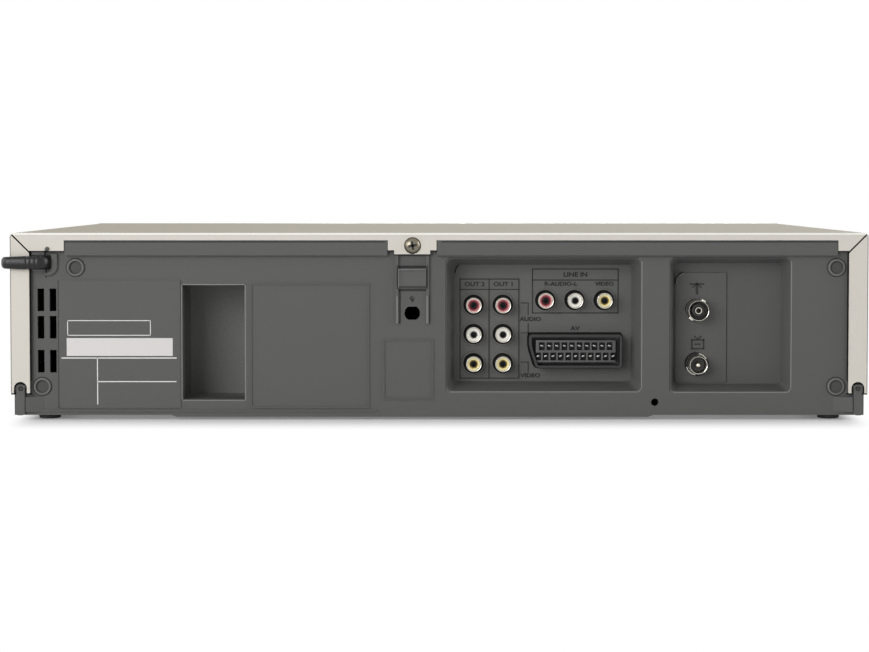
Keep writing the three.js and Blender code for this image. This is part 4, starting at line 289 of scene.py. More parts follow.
finishRows = {  # by maker: each finish's colour, then the maker's other settings
    mouldedPlastic: {
        # framePlastic: floors of the recesses and of the pocket painted paler by depth, a painted
        # light against their shade
        "framePlastic": ((94, 94, 93), 1900, 0.00009, 0.62, 0.25, [(0.1328, 1.34), (0.125, 2.8)]),
        # darker frame plastic, painted shade in the corner rings' hollows
        "recessPlastic": ((78, 78, 77), 1900, 0.00006, 0.62, 0.25),
        # dark plastic, painted shade of low relief and of hollows
        "legendPlastic": ((38, 39, 39), 1900, 0.00006, 0.6, 0.3),
        # dark plastic, painted shade of moulded signs, of recess edges and of small dimples
        "signPlastic": ((56, 57, 57), 1900, 0.00006, 0.6, 0.25),
        # lighter plastic, painted highlights on rims and edges; down the cover's side edges, a
        # painted shade line
        "rimPlastic": ((122, 122, 120), 1900, 0.00003, 0.5, 0.3),
        # pale plastic, painted highlights along edges and ribs
        "wornPlastic": ((138, 138, 136), 1900, 0.00003, 0.5, 0.3),
        "shadePlastic": ((20, 20, 20), 1900, 0.00003, 0.7, 0.1),
        "frontPlastic": ((176, 175, 170), 1500, 0.00003, 0.36, 0.5),
        "blackPlastic": ((24, 24, 25), 1500, 0.00004, 0.42, 0.45),
        "socketPlastic": ((50, 50, 50), 1500, 0.00003, 0.42, 0.35),
        # tonguePlastic: the slots' floors painted dark, painted shade
        "tonguePlastic": ((88, 88, 88), 1500, 0.00003, 0.45, 0.4, [(0.1377, 0.16)]),
        "ferrite": ((52, 52, 55), 700, 0.0001, 0.55),
        "whitePlastic": ((222, 220, 212), 1200, 0.00003, 0.42),
    },
    paintedSteel: {
        "coverPaint": (
            # coverPaint: its colour, the top's dust and painted shade, the fold's painted
            # highlight, then the bands
            (220, 215, 206), tone(199, 192, 177), tone(255, 254, 248),
            {"top": 0.094, "rear": 0.15, "dusty": 0.00025, "pale": 0.0009},
        ),
    },
    bareMetal: {
        "nickel": ((226, 222, 212), 0.16),
        "screwSteel": ((128, 122, 108), 0.24),
        "brass": ((200, 164, 92), 0.3),
        "contactSilver": ((168, 168, 164), 0.32),
        "aluminium": ((205, 208, 212), 0.26, (900, 30, 30)),
        "steel": ((176, 178, 182), 0.24, (30, 30, 900)),
    },
    spangledZinc: {"bareZinc": ((186, 189, 192),)},
    softRubber: {
        "footRubber": ((46, 46, 47), 0.75, 0.00008),
        "sleeveRubber": ((15, 16, 18), 0.3, 0.000006),
        "cordRubber": ((24, 24, 26), 0.46, 0.00004),
    },
    circuitBoard: {"circuitBoard": ((96, 78, 40),)},
    smokedWindow: {"windowSmoke": ((14, 15, 18), tone(22, 24, 28))},
    printedInk: {
        "redCore": ((170, 78, 86), 0.35),
        "whiteCore": ((248, 246, 238), 0.35),
        "yellowCore": ((246, 232, 168), 0.35),
        # the rims: paler copies of the cores' colours, painted highlights
        "redRim": ((255, 222, 218), 0.3),
        "whiteRim": ((255, 254, 248), 0.3),
        "yellowRim": ((255, 250, 222), 0.3),
        # the throats: darker copies of the cores' colours, painted shade in the bores
        "redThroat": ((96, 26, 34), 0.4),
        "whiteThroat": ((216, 214, 206), 0.4),
        "yellowThroat": ((158, 132, 70), 0.4),
        "corePlastic": ((206, 204, 196), 0.4),
        "whiteInk": ((232, 232, 228), 0.5),
        "stickerPaper": ((221, 218, 216), 0.4),
        "signInk": ((58, 60, 64), 0.4),
        "windowInk": ((104, 108, 112), 0.3),
    },
}
finishes = {
    name: make(name, tone(*colour), *rest)
    for make, rows in finishRows.items() for name, (colour, *rest) in rows.items()
}


def camel(title):  # a name of the frame, written as this script writes its own
    first, *rest = title.split("_")
    return first + "".join(word.capitalize() for word in rest)


slotOf = {
    camel(row["material_slot"]): row["material_slot"] for row in frame["record"]["subparts"]
}
for finish in ("recessPlastic", "legendPlastic", "signPlastic", "rimPlastic", "wornPlastic"):
    slotOf[finish] = "frame_plastic"
for finish in ("socketPlastic", "tonguePlastic", "shadePlastic"):
    slotOf[finish] = "black_plastic"
print("finishes made:", len(finishes))


def place(name, form, finish, body="recorder", smooth=35):
    mesh = bpy.data.meshes.new(name)
    form.to_mesh(mesh)
    form.free()
    piece = bpy.data.objects.new(name, mesh)
    scene.collection.objects.link(piece)
    mesh.materials.append(finishes[finish])
    if smooth:
        mesh.shade_smooth()
        mesh.set_sharp_from_angle(angle=math.radians(smooth))
    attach(piece, body)
    finish in slotOf
    return piece


facings = {  # how a form that lies on the ground, seen from above, is stood on each side
    "rear": Matrix(((-1, 0, 0), (0, 0, 1), (0, 1, 0))).to_4x4(),
    "front": Matrix(((1, 0, 0), (0, 0, -1), (0, 1, 0))).to_4x4(),
}


def shift(*at):
    return Matrix.Translation(Vector(at) * mm)


def stand(form, facing, at):  # a form in its own place, to where it sits on the recorder
    bmesh.ops.transform(form, matrix=shift(*at) @ facings[facing], verts=form.verts)
    return form


def spun(form, angle):  # turned round the upright axis
    bmesh.ops.transform(form, matrix=Matrix.Rotation(angle, 4, "Z"), verts=form.verts)
    return form


def moved(form, x, y=0):
    bmesh.ops.translate(form, verts=form.verts, vec=(x * mm, y * mm, 0))
    return form


def together(*forms):
    whole = bmesh.new()
    for form in forms:
        mesh = bpy.data.meshes.new("part")
        form.to_mesh(mesh)
        form.free()
        whole.from_mesh(mesh)
        bpy.data.meshes.remove(mesh)
    return whole


def block(x, y, z):
    form = bmesh.new()
    bmesh.ops.create_cube(form, size=1)
    size = [(high - low) * mm for low, high in (x, y, z)]
    middle = [(high + low) / 2 * mm for low, high in (x, y, z)]
    bmesh.ops.scale(form, verts=form.verts, vec=size)
    bmesh.ops.translate(form, verts=form.verts, vec=middle)
    return form


def turned(profile, steps=48):  # (radius, height) stations spun round an upright axis
    form = bmesh.new()
    rim = [form.verts.new((radius * mm, 0, height * mm)) for radius, height in profile]
    hollow = min(profile)[0] > 0  # no station on the axis, so the profile is closed to a ring
    ends = rim[1:] + rim[:1] if hollow else rim[1:]
    edges = [form.edges.new(pair) for pair in zip(rim, ends)]
    bmesh.ops.spin(
        form, geom=rim + edges, cent=(0, 0, 0), axis=(0, 0, 1), angle=math.tau,
        steps=steps, use_merge=True,
    )
    bmesh.ops.remove_doubles(form, verts=form.verts, dist=1e-7)
    bmesh.ops.recalc_face_normals(form, faces=form.faces)
    return form


def raised(outline, low, high):  # an outline of (x, y) points, given its thickness
    form = bmesh.new()
    face = form.faces.new([form.verts.new((x * mm, y * mm, low * mm)) for x, y in outline])
    grown = bmesh.ops.extrude_face_region(form, geom=[face])["geom"]
    tops = [item for item in grown if isinstance(item, bmesh.types.BMVert)]
    bmesh.ops.translate(form, verts=tops, vec=(0, 0, (high - low) * mm))
    bmesh.ops.recalc_face_normals(form, faces=form.faces)
    return form


def push(form, faces, depth):  # sinks faces into the form, or raises them, with walls round them
    grown = bmesh.ops.extrude_face_region(form, geom=faces)["geom"]
    tops = [item for item in grown if isinstance(item, bmesh.types.BMVert)]
    bmesh.ops.translate(form, verts=tops, vec=(0, 0, depth * mm))
    left = [face for face in faces if face.is_valid]
    if left:
        bmesh.ops.delete(form, geom=left, context="FACES")


def bevelled(form, edges, width, segments, clamped=False):
    bmesh.ops.bevel(
        form, geom=edges, offset=width * mm, offset_type="OFFSET", affect="EDGES",
        segments=segments, profile=0.5, material=-1, clamp_overlap=clamped,
    )
    return form


def eased(form, width, segments=2, angle=30):  # rounds every edge sharper than the angle
    limit = math.radians(angle)
    sharp = [edge for edge in form.edges if edge.is_manifold and edge.calc_face_angle(0) > limit]
    return bevelled(form, sharp, width, segments, True)


lettering = {"capShare": 0.729, "raise": 0.3, "sink": 0.2, "weight": 0.03, "curve": 3}


def words(text, height, at, facing, stretch, lift=lettering["raise"]):
    data = bpy.data.curves.new("words", "FONT")
    data.body = text
    data.size = height / lettering["capShare"]
    data.align_x = "CENTER"
    data.align_y = "CENTER"
    data.resolution_u = lettering["curve"]
    data.extrude = (lift + lettering["sink"]) / 2
    data.offset = lettering["weight"] * height
    holder = bpy.data.objects.new("words", data)
    mesh = bpy.data.meshes.new_from_object(holder)
    form = bmesh.new()
    form.from_mesh(mesh)
    bpy.data.objects.remove(holder)
    bpy.data.meshes.remove(mesh)
    bmesh.ops.remove_doubles(form, verts=form.verts, dist=1e-4)
    bmesh.ops.recalc_face_normals(form, faces=form.faces)
    bmesh.ops.translate(form, verts=form.verts, vec=(0, 0, (lift - lettering["sink"]) / 2))
    bmesh.ops.scale(form, verts=form.verts, vec=(stretch * mm, mm, mm))
    return stand(form, facing, at)


def stroke(path, width, at, facing="rear", lift=lettering["raise"]):  # a raised line along (x, z)
    runs = []
    half = width / 2
    for start, end in zip(path, path[1:]):
        run = Vector(end) - Vector(start)
        form = block((-half, run.length + half), (-half, half), (-lettering["sink"], lift))
        runs.append(moved(spun(form, math.atan2(run.y, run.x)), *start))
    return stand(together(*runs), facing, at)


def boxed(x, z, farX, farZ):  # a path round a rectangle, from one corner and back to it
    return [(x, z), (x, farZ), (farX, farZ), (farX, z), (x, z)]


def arc(x, z, radius, start, end, steps):  # points along an arc, its turns in degrees
    turns = [math.radians(start + (end - start) * i / steps) for i in range(steps + 1)]
    return [(x + radius * math.cos(turn), z + radius * math.sin(turn)) for turn in turns]


def seen(x, z):  # a place on the rear, given in the recorder's own x, to one as it is read
    return (-x, z)


def rearLines(levels, lift=lettering["raise"]):  # levels: a depth to its rows of width and path
    return together(*[
        stroke([seen(*at) for at in path], width, (0, y, 0), lift=lift)
        for y, rows in levels.items() for width, path in rows
    ])


def ruled(name, finish, levels, *lift):
    place(name, rearLines(levels, *lift), finish, smooth=0)


# mains lead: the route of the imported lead, then a flat coil of two layers and a short tail
lead = {
    "radius": 2.2,
    "exit": (217.6, 136.7, 79.1),
    "length": 1.529,
    "route": [
        (217.6, 122, 77.6), (218.2, 100, 68), (219.5, 78, 48), (221, 58, 27), (222.6, 34, 10),
        (223.6, 6, 3.4), (224, -30, 2.5), (224, -80, 2.5), (223.8, -120, 2.5), (222, -145, 2.6),
        (212.6, -161, 3), (202.6, -172, 3.4), (197.4, -182, 3.45), (196.5, -187.5, 3.45),
    ],
    "centre": (234, -196),
    "inner": 22.8,
    "spacing": 4.9,
    "turns": 3,
    "low": 3.45,
    "climb": 0.5,
    "straight": 5.3,
    "steps": 32,
    "smooth": 6,
    "round": 5,
    "tail": [(0, -6, 0), (0, -12, -0.2), (0, -19, -0.9), (0, -25, -1.35), (0, -30, -1.35)],
}


def smoothRun(stations, steps):  # centripetal spline through the stations
    ends = [stations[0] * 2 - stations[1], *stations, stations[-1] * 2 - stations[-2]]
    run = []
    for a, b, c, d in zip(ends, ends[1:], ends[2:], ends[3:]):
        knots = [0]
        for near, far in ((a, b), (b, c), (c, d)):
            knots.append(knots[-1] + math.sqrt((far - near).length))
        ta, tb, tc, td = knots
        for i in range(steps):
            t = tb + (tc - tb) * i / steps
            ab = a.lerp(b, (t - ta) / (tb - ta))
            bc = b.lerp(c, (t - tb) / (tc - tb))
            cd = c.lerp(d, (t - tc) / (td - tc))
            abc = ab.lerp(bc, (t - ta) / (tc - ta))
            bcd = bc.lerp(cd, (t - tb) / (td - tb))
            run.append(abc.lerp(bcd, (t - tb) / (tc - tb)))
    return [*run, stations[-1]]


def coilPoint(turn):
    angle = math.pi * (1 + 2 * turn)
    radius = lead["inner"] + lead["spacing"] * abs(lead["turns"] - turn)
    share = min(1, max(0, (turn - lead["turns"]) / lead["climb"] + 0.5))
    climbed = share * share * (3 - 2 * share)
    x, y = lead["centre"]
    height = lead["low"] + climbed * lead["spacing"]
    return Vector((x + radius * math.cos(angle), y + radius * math.sin(angle), height))


coilRun = [coilPoint(i / lead["steps"]) for i in range(lead["turns"] * 2 * lead["steps"] + 1)]
coilLead = [coilRun[0] + Vector((0, lead["straight"], 0)), *coilRun]
coilLead += [coilRun[-1] + Vector(offset) for offset in lead["tail"]]
bends = [Vector(at) for at in (lead["exit"], *lead["route"])] + [coilLead[0]]
leadRun = smoothRun(bends, lead["smooth"])[:-1] + coilLead
curve = bpy.data.curves.new("mainsLead", "CURVE")
curve.dimensions = "3D"
spline = curve.splines.new("POLY")
spline.points.add(len(leadRun) - 1)
for point, station in zip(spline.points, leadRun):
    point.co = (*(station * mm), 1)
curve.bevel_depth = lead["radius"] * mm
curve.bevel_resolution = lead["round"]
curve.use_fill_caps = True
mainsLead = bpy.data.objects.new("mainsLead", curve)
scene.collection.objects.link(mainsLead)
curve.materials.append(finishes["cordRubber"])
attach(mainsLead, "recorder")
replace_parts(mainsLead, "power_cord", "power_cord_coil")
print("mains lead laid")


def swept(ring, stations):  # a ring of corners carried through stations, closed at both ends
    form = bmesh.new()
    verts = bmesh.ops.create_circle(form, cap_ends=True, segments=len(ring), radius=1)["verts"]
    for vert, corner in zip(verts, ring):
        vert.co = Vector((*corner, 0))
    bmesh.ops.transform(form, matrix=stations[0], verts=verts)
    edges = form.edges[:]
    for before, after in zip(stations, stations[1:]):
        grown = bmesh.ops.extrude_edge_only(form, edges=edges)["geom"]
        verts = {item for item in grown if isinstance(item, bmesh.types.BMVert)}
        edges = [
            item for item in grown
            if isinstance(item, bmesh.types.BMEdge) and set(item.verts) <= verts
        ]
        bmesh.ops.transform(form, matrix=after @ before.inverted(), verts=list(verts))
    bmesh.ops.contextual_create(form, geom=edges)
    bmesh.ops.recalc_face_normals(form, faces=form.faces)
    return form


def ringOf(count, power):  # a circle at a power of 2, squarer with a higher one
    ring = []
    for i in range(count):
        angle = math.tau * (i + 0.5) / count
        x, y = math.cos(angle), math.sin(angle)
        size = (abs(x) ** power + abs(y) ** power) ** (-1 / power)
        ring.append((x * size, y * size))
    return ring


# strain relief: comes out of the wall, bends along it with ribs, turns the corner and tapers
sleeve = {
    "x": 196.4,
    "z": 79.1,
    "start": 135.7,
    "level": 152.45,
    "firstBend": 5,
    "cornerX": 217.6,
    "cornerBend": 2.6,
    "length": 50.1,
    "thick": 2.03,
    "high": 3.4,
    "tip": 0.7,
    "ribs": [19.8, 22, 24.2],
    "ribWidth": 0.6,
    "ribDepth": 0.08,
    "step": 0.35,
    "ring": (32, 2.3),
}


def sleeveRun(along):  # the point and the heading at a distance along the sleeve
    first, corner = sleeve["firstBend"], sleeve["cornerBend"]
    runs = (  # length and radius, which is 0 for a straight one
        (sleeve["level"] - first - sleeve["start"], 0), (first * math.pi / 2, first),
        (sleeve["cornerX"] - corner - sleeve["x"] - first, 0), (corner * math.pi / 2, corner),
        (math.inf, 0),
    )
    x, y, heading = sleeve["x"], sleeve["start"], math.pi / 2
    for length, radius in runs:
        step = min(along, length)
        along -= step
        sine, cosine = math.sin(heading), math.cos(heading)
        if radius:
            heading -= step / radius
            x += radius * (sine - math.sin(heading))
            y += radius * (math.cos(heading) - cosine)
        else:
            x += step * cosine
            y += step * sine
    return (x, y), heading


def sleeveStation(along):
    (x, y), heading = sleeveRun(along)
    ribbed = sum(max(0, 1 - (abs(along - rib) / sleeve["ribWidth"]) ** 2) for rib in sleeve["ribs"])
    half = sleeve["length"] / 2
    late = max(0, (along - half) / half)
    size = (1 - sleeve["ribDepth"] * min(1, ribbed)) * (1 + (sleeve["tip"] - 1) * late) * mm
    sine, cosine = math.sin(heading), math.cos(heading)
    side, ahead = Vector((-sine, cosine, 0)), Vector((cosine, sine, 0))
    columns = (side * sleeve["thick"] * size, Vector((0, 0, sleeve["high"] * size)), ahead)
    matrix = Matrix([list(row) for row in zip(*columns)]).to_4x4()
    return shift(x, y, sleeve["z"]) @ matrix


count = round(sleeve["length"] / sleeve["step"])
stations = [sleeveStation(sleeve["length"] * i / count) for i in range(count + 1)]
sleeveForm = swept(ringOf(*sleeve["ring"]), stations)
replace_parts(place("leadSleeve", sleeveForm, "sleeveRubber", smooth=50), "strain_relief")

# mains plug: a moulded grip with finger ribs, and two pins insulated over half their length
plug = {
    "at": (196.5, -226, 7),
    "ring": (40, 3.6),
    "body": [
        (0, 2.7, 2.7), (0.5, 3.5, 3.3), (2, 3.7, 3.5), (2.7, 3.2, 3.1), (3.6, 3.2, 3.1),
        (4.3, 4, 3.7), (6, 4.2, 3.8), (6.7, 3.6, 3.4), (7.6, 3.6, 3.4), (8.3, 4.6, 4.1),
        (10.5, 5, 4.3), (14, 6.4, 4.9), (17, 9.4, 5.9), (19.5, 12, 6.6), (22, 12.7, 6.75),
        (24, 12.9, 6.9), (25, 12.4, 6.5), (26, 12.9, 6.9), (27.5, 12.9, 6.9), (28.5, 12.4, 6.5),
        (29.5, 12.9, 6.9), (31, 12.9, 6.9), (32, 12.4, 6.5), (33, 12.9, 6.9), (36, 13, 7),
        (42, 13, 7), (43.2, 12.8, 6.85), (44, 12, 6.2),
    ],
    "pinSpread": 18.6,
    "pinSteps": 24,
    "sleeve": [(0, 43.5), (2, 43.5), (2, 53.4), (1.85, 53.6), (0, 53.6)],
    "pin": [(0, 53), (1.8, 53), (1.8, 61.4), (1.5, 62.6), (0.9, 63.2), (0, 63.3)],
}


def plugStation(run, wide, thick):
    sized = Matrix(((wide * mm, 0, 0), (0, 0, 1), (0, thick * mm, 0))).to_4x4()
    x, y, z = plug["at"]
    return shift(x, y - run, z) @ sized


def plugPins(profile):
    x, y, z = plug["at"]
    pins = []
    for side in (-1, 1):
        pin = turned(profile, plug["pinSteps"])
        middle = shift(x + side * plug["pinSpread"] / 2, y, z)
        matrix = middle @ Matrix.Rotation(math.pi / 2, 4, "X")
        bmesh.ops.transform(pin, matrix=matrix, verts=pin.verts)
        pins.append(pin)
    return together(*pins)


grip = swept(ringOf(*plug["ring"]), [plugStation(*station) for station in plug["body"]])
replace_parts(place("plugGrip", grip, "cordRubber", smooth=40), "mains_plug")
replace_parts(place("plugPinSleeves", plugPins(plug["sleeve"]), "blackPlastic"), "mains_plug")
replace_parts(place("plugPins", plugPins(plug["pin"]), "nickel"), "mains_plug")
print("sleeve and plug shaped")


def soften(name, finish, width):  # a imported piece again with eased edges
    form = bmesh.new()
    form.from_mesh(nodes[name].data)
    bmesh.ops.remove_doubles(form, verts=form.verts, dist=1e-6)
    flat = math.radians(0.5)
    bmesh.ops.dissolve_limit(form, angle_limit=flat, verts=form.verts, edges=form.edges)
    body = nodes[name]["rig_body"]
    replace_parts(place(camel(name) + "Soft", eased(form, width), finish, body), name)


# phono sockets: bright shells round coloured cores with rims paler as painted highlight and throats
# darker as painted shade, each in a moulded collar with a dark gap
phono = {
    "pitch": 14.9,
    "outCentre": (-25, 42.1),
    "inCentre": (-69, 59.4),
    "shell": [
        (3.95, -2.4), (3.95, 8.45), (3.87, 8.72), (3.74, 8.8), (3.58, 8.76), (3.3, 8.1),
        (3.3, -2.4),
    ],
    "core": [
        (0, -2.3), (3.27, -2.3), (3.27, 7.6), (2.95, 7.6), (2.9, 7.8), (2.3, 7.7), (2.1, 7.2),
        (2.1, 0.6), (0, 0.6),
    ],
    # the rim and the throat carry the core's colour, paler as painted highlight and darker as
    # painted shade
    "rim": [(2.92, 7.4), (3.28, 7.4), (3.28, 8.3), (3.14, 8.42), (2.98, 8.3), (2.92, 8)],
    "throat": [(1.62, 0.5), (2.12, 0.5), (2.12, 7.2), (1.9, 7.3), (1.7, 7), (1.62, 6.6)],
    "lining": [(1.59, 0.65), (1.59, 7.1), (1.3, 7.1), (1.3, 1.1), (0, 1.1), (0, 0.65)],
    "gap": [(3.4, -2.4), (3.4, 0.06), (5.4, 0.06), (5.4, -2.4)],
    "collar": [
        (5.15, -2.4), (5.15, 0.24), (5.25, 0.36), (5.9, 0.36), (6.1, 0.24), (6.2, 0.03),
        (5.9, 0.03), (5.9, -2.4),
    ],
    "edge": 0.4,
    "faceBack": 2.3,
    "liningSteps": 24,
    "coreSteps": 40,
    "rows": (("redCore", 1), ("whiteCore", 0), ("yellowCore", -1)),
}


def rings(profile, places, *steps):  # one turned profile at several places
    return together(*[stand(turned(profile, *steps), "rear", at) for at in places])


def ringed(name, node, finish, profile, places, *steps):
    piece = place(name, rings(profile, places, *steps), finish)
    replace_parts(piece, node)
    return piece


def bodyBlock(node, back):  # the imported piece's box, its rear set back from the recess's floor
    low, high = (corner / mm for corner in map(Vector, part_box(node)))
    face = min(high.y, wall["avFloor"] - back)
    return block((low.x, high.x), (low.y, face), (low.z, high.z))


def phonoSockets(name, ending, colours):  # colours: a core's finish to its places
    places = [at for spots in colours.values() for at in spots]
    node = "rca_block_" + ending
    housing = place(
        name + "Housing", eased(bodyBlock(node, phono["faceBack"]), phono["edge"]), "blackPlastic"
    )
    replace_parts(housing, node)
    ringed(name + "Gaps", node, "shadePlastic", phono["gap"], places)
    ringed(name + "Collars", node, "framePlastic", phono["collar"], places)
    ringed(name + "Linings", node, "blackPlastic", phono["lining"], places, phono["liningSteps"])
    ringed(name + "Shells", "rca_shells_" + ending, "nickel", phono["shell"], places)
    for finish, spots in colours.items():
        colour = finish.replace("Core", "")
        for part in ("Core", "Rim", "Throat"):
            piece = ringed(
                name + colour.capitalize() + part + "s", "rca_cores_" + ending, colour + part,
                phono[part.lower()], spots, phono["coreSteps"],
            )


outX, outZ = phono["outCentre"]
inX, inZ = phono["inCentre"]
pitch = phono["pitch"]
columns = [outX + side * pitch / 2 for side in (1, -1)]
outRows = {
    finish: [(x, wall["avFloor"], outZ + step * pitch) for x in columns]
    for finish, step in phono["rows"]
}
inRow = {finish: [(inX + step * pitch, wall["avFloor"], inZ)] for finish, step in phono["rows"]}
phonoSockets("phonoOut", "out", outRows)
phonoSockets("phonoIn", "in", inRow)
print("phono sockets set")

# 21-way socket: a shroud with one slanted corner round a tongue with two rows of contacts
scart = {
    "centre": (-69.3, 33.7),
    "width": 47.2,
    "height": 16.9,
    "slant": 3.4,
    "rise": 11,
    "corner": 1.5,
    "shroudWall": 1.3,
    "mouth": 0.22,
    "reach": 8,
    "root": -2.6,
    "cavity": 6.4,
    "gap": 0.8,
    "gapDepth": (-2, 0.05),
    "edge": 0.4,
    "faceBack": 2.4,
    "tongueWidth": 40.6,
    "tongueHeight": 11.4,
    "tongueSink": 1,
    "tongueRoot": 0.2,
    "pitch": 3.81,
    "rows": {2.6: 10, -2.6: 11},
    "slot": (2.9, 4),
    "slotDepth": 5,
    "contact": (1.55, 0.7),
    "contactEdge": 0.2,
    "contactLong": 4,
    "contactSink": 0.75,
    "contactShift": 0.15,
    "contactTurns": {2.6: -14, -2.6: 24},
    "upright": 0.9,
    "skin": 0.1,
}


def scartOutline(grow=0):  # seen from behind, the slanted corner at the lower left
    x = scart["width"] / 2 + grow
    y = scart["height"] / 2 + grow
    return [(-x, y), (x, y), (x, -y), (-x + scart["slant"], -y), (-x, -y + scart["rise"])]


def scartBlock(low, high, grow=0):  # the outline raised, its upright corners rounded
    form = raised(scartOutline(grow), low, high)
    corners = [
        edge for edge in form.edges
        if abs((edge.verts[0].co - edge.verts[1].co).normalized().z) > scart["upright"]
    ]
    return bevelled(form, corners, scart["corner"] + grow, 4)


def scartShroud():
    form = scartBlock(scart["root"], scart["reach"])
    top = max(form.faces, key=lambda face: face.calc_center_median().z)
    bmesh.ops.inset_region(form, faces=[top], thickness=scart["shroudWall"] * mm)
    push(form, [top], -scart["cavity"])
    return eased(form, scart["mouth"], angle=50)


def scartSlots():
    return [
        ((i - (count - 1) / 2) * scart["pitch"], y)
        for y, count in scart["rows"].items() for i in range(count)
    ]


def sliced(form, parts, at, along):
    bmesh.ops.bisect_plane(form, geom=parts, plane_co=Vector(at) * mm, plane_no=along)


def scartTongue():
    x, y = scart["tongueWidth"] / 2, scart["tongueHeight"] / 2
    low, high = scart["reach"] - scart["cavity"], scart["reach"] - scart["tongueSink"]
    form = block((-x, x), (-y, y), (low - scart["tongueRoot"], high))
    eased(form, scart["edge"])
    wide, tall = (size / 2 for size in scart["slot"])
    for row in scart["rows"]:
        for edge in (row - tall, row + tall):
            parts = form.verts[:] + form.edges[:] + form.faces[:]
            sliced(form, parts, (0, edge, 0), (0, 1, 0))
    for slotX, row in scartSlots():
        for edge in (slotX - wide, slotX + wide):
            near = [
                face for face in form.faces if abs(face.calc_center_median().y / mm - row) < tall
            ]
            ring = list({item for face in near for item in (*face.verts, *face.edges)}) + near
            sliced(form, ring, (edge, 0, 0), (1, 0, 0))
    hollow = []
    for face in form.faces:
        middle = face.calc_center_median() / mm
        if face.normal.z > scart["upright"] and middle.z > high - scart["skin"]:
            if any(abs(middle.x - a) < wide and abs(middle.y - b) < tall for a, b in scartSlots()):
                hollow.append(face)
    push(form, hollow, -scart["slotDepth"])
    return form


def scartContacts():
    wide, tall = (size / 2 for size in scart["contact"])
    top = scart["reach"] - scart["tongueSink"] - scart["contactSink"]
    leaves = []
    for x, y in scartSlots():
        leaf = block((-wide, wide), (-tall, tall), (top - scart["contactLong"], top))
        spun(eased(leaf, scart["contactEdge"]), math.radians(scart["contactTurns"][y]))
        leaves.append(moved(leaf, x, y + scart["contactShift"]))
    return together(*leaves)


scartAt = (scart["centre"][0], wall["avFloor"], scart["centre"][1])
scartBody = eased(bodyBlock("scart_socket", scart["faceBack"]), scart["edge"])
scartGap = scartBlock(*scart["gapDepth"], scart["gap"])
scartPieces = {
    "scartBody": (scartBody, "blackPlastic"),
    "scartGap": (stand(scartGap, "rear", scartAt), "shadePlastic"),
    "scartShroud": (stand(scartShroud(), "rear", scartAt), "socketPlastic"),
    "scartTongue": (stand(scartTongue(), "rear", scartAt), "tonguePlastic"),
    "scartContacts": (stand(scartContacts(), "rear", scartAt), "contactSilver"),
}
for name, (form, finish) in scartPieces.items():
    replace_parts(place(name, form, finish), "scart_socket")
print("21-way socket set")

# aerial sockets: the upper takes a plug's pin, the lower has a pin of its own
aerial = {
    "x": -131,
    "z": {"aerial_in": 54.6, "rf_out": 27},
    "washer": [(0, -4), (5.15, -4), (5.15, 1.6), (0, 1.6)],
    "nubTurns": (62, 228),
    "nub": ((5, 6.1), (-1.1, 1.1), (5.4, 8.2)),
    "nubEdge": 0.3,
    "arcCollar": [
        (5.1, -4), (5.1, 2.2), (5.25, 2.4), (5.55, 2.4), (5.78, 2.2), (5.85, 1.8), (5.85, -4),
    ],
    "arcTurns": ((196, 262), (30, 82)),
    "arcSteps": 72,
}
aerialParts = {
    "aerialInCollar": ("aerial_in", "framePlastic", [
        (5.1, -4), (5.1, 1.8), (5.25, 2), (5.4, 2), (5.55, 1.8), (5.6, 1.4), (5.6, -4),
    ]),
    "aerialWasher": ("aerial_in", "blackPlastic", aerial["washer"]),
    "aerialInShell": ("aerial_in", "nickel", [
        (4.9, 1.6), (5.28, 1.6), (5.28, 9.1), (5.2, 9.36), (5.08, 9.5), (4.9, 9.4), (4.8, 9.1),
        (4.8, 1.6),
    ]),
    "aerialInInsert": ("aerial_in", "socketPlastic", [
        (1.95, 2), (3.3, 2), (3.3, 5.6), (3, 6), (2.2, 6.1), (1.95, 5.8),
    ]),
    "aerialInContact": ("aerial_in", "nickel", [
        (1.05, 2.5), (1.86, 2.5), (1.86, 8.2), (1.7, 8.5), (1.4, 8.5), (1.1, 8.1),
    ]),
    "aerialOutOutCollar": ("rf_out", "socketPlastic", [
        (5.12, -4), (5.12, 2.1), (5.25, 2.3), (5.5, 2.3), (5.7, 2.1), (5.76, 1.8), (5.76, -4),
    ]),
    "aerialOutWasher": ("rf_out", "blackPlastic", aerial["washer"]),
    "aerialOutOutShell": ("rf_out", "nickel", [
        (4.1, 1.6), (4.72, 1.6), (4.72, 8.9), (4.62, 9.3), (4.42, 9.5), (4.2, 9.4), (4.08, 9.1),
        (4.08, 1.6),
    ]),
    "aerialOutOutInsert": ("rf_out", "socketPlastic", [
        (0, 2), (4, 2), (4, 3.4), (3.6, 3.8), (1.7, 3.8), (1.4, 4.4), (0, 4.4),
    ]),
    "aerialOutOutPin": ("rf_out", "nickel", [
        (0, 4), (1.15, 4), (1.15, 7.7), (0.9, 8.2), (0.5, 8.5), (0, 8.6),
    ]),
}
inAt, outAt = ((aerial["x"], wall["aerialFloor"], z) for z in aerial["z"].values())
for name, (node, finish, profile) in aerialParts.items():
    ringed(name, node, finish, profile, [inAt if node == "aerial_in" else outAt])


def partTurned(profile, start, end):  # a turned ring, kept between two angles, its ends closed
    form = turned(profile, aerial["arcSteps"])
    away = []
    for face in form.faces:
        middle = face.calc_center_median()
        degrees = math.degrees(math.atan2(middle.y, middle.x)) % 360
        if not start <= degrees <= end:
            away.append(face)
    bmesh.ops.delete(form, geom=away, context="FACES")
    bmesh.ops.holes_fill(form, edges=[edge for edge in form.edges if edge.is_boundary], sides=0)
    bmesh.ops.recalc_face_normals(form, faces=form.faces)
    return form


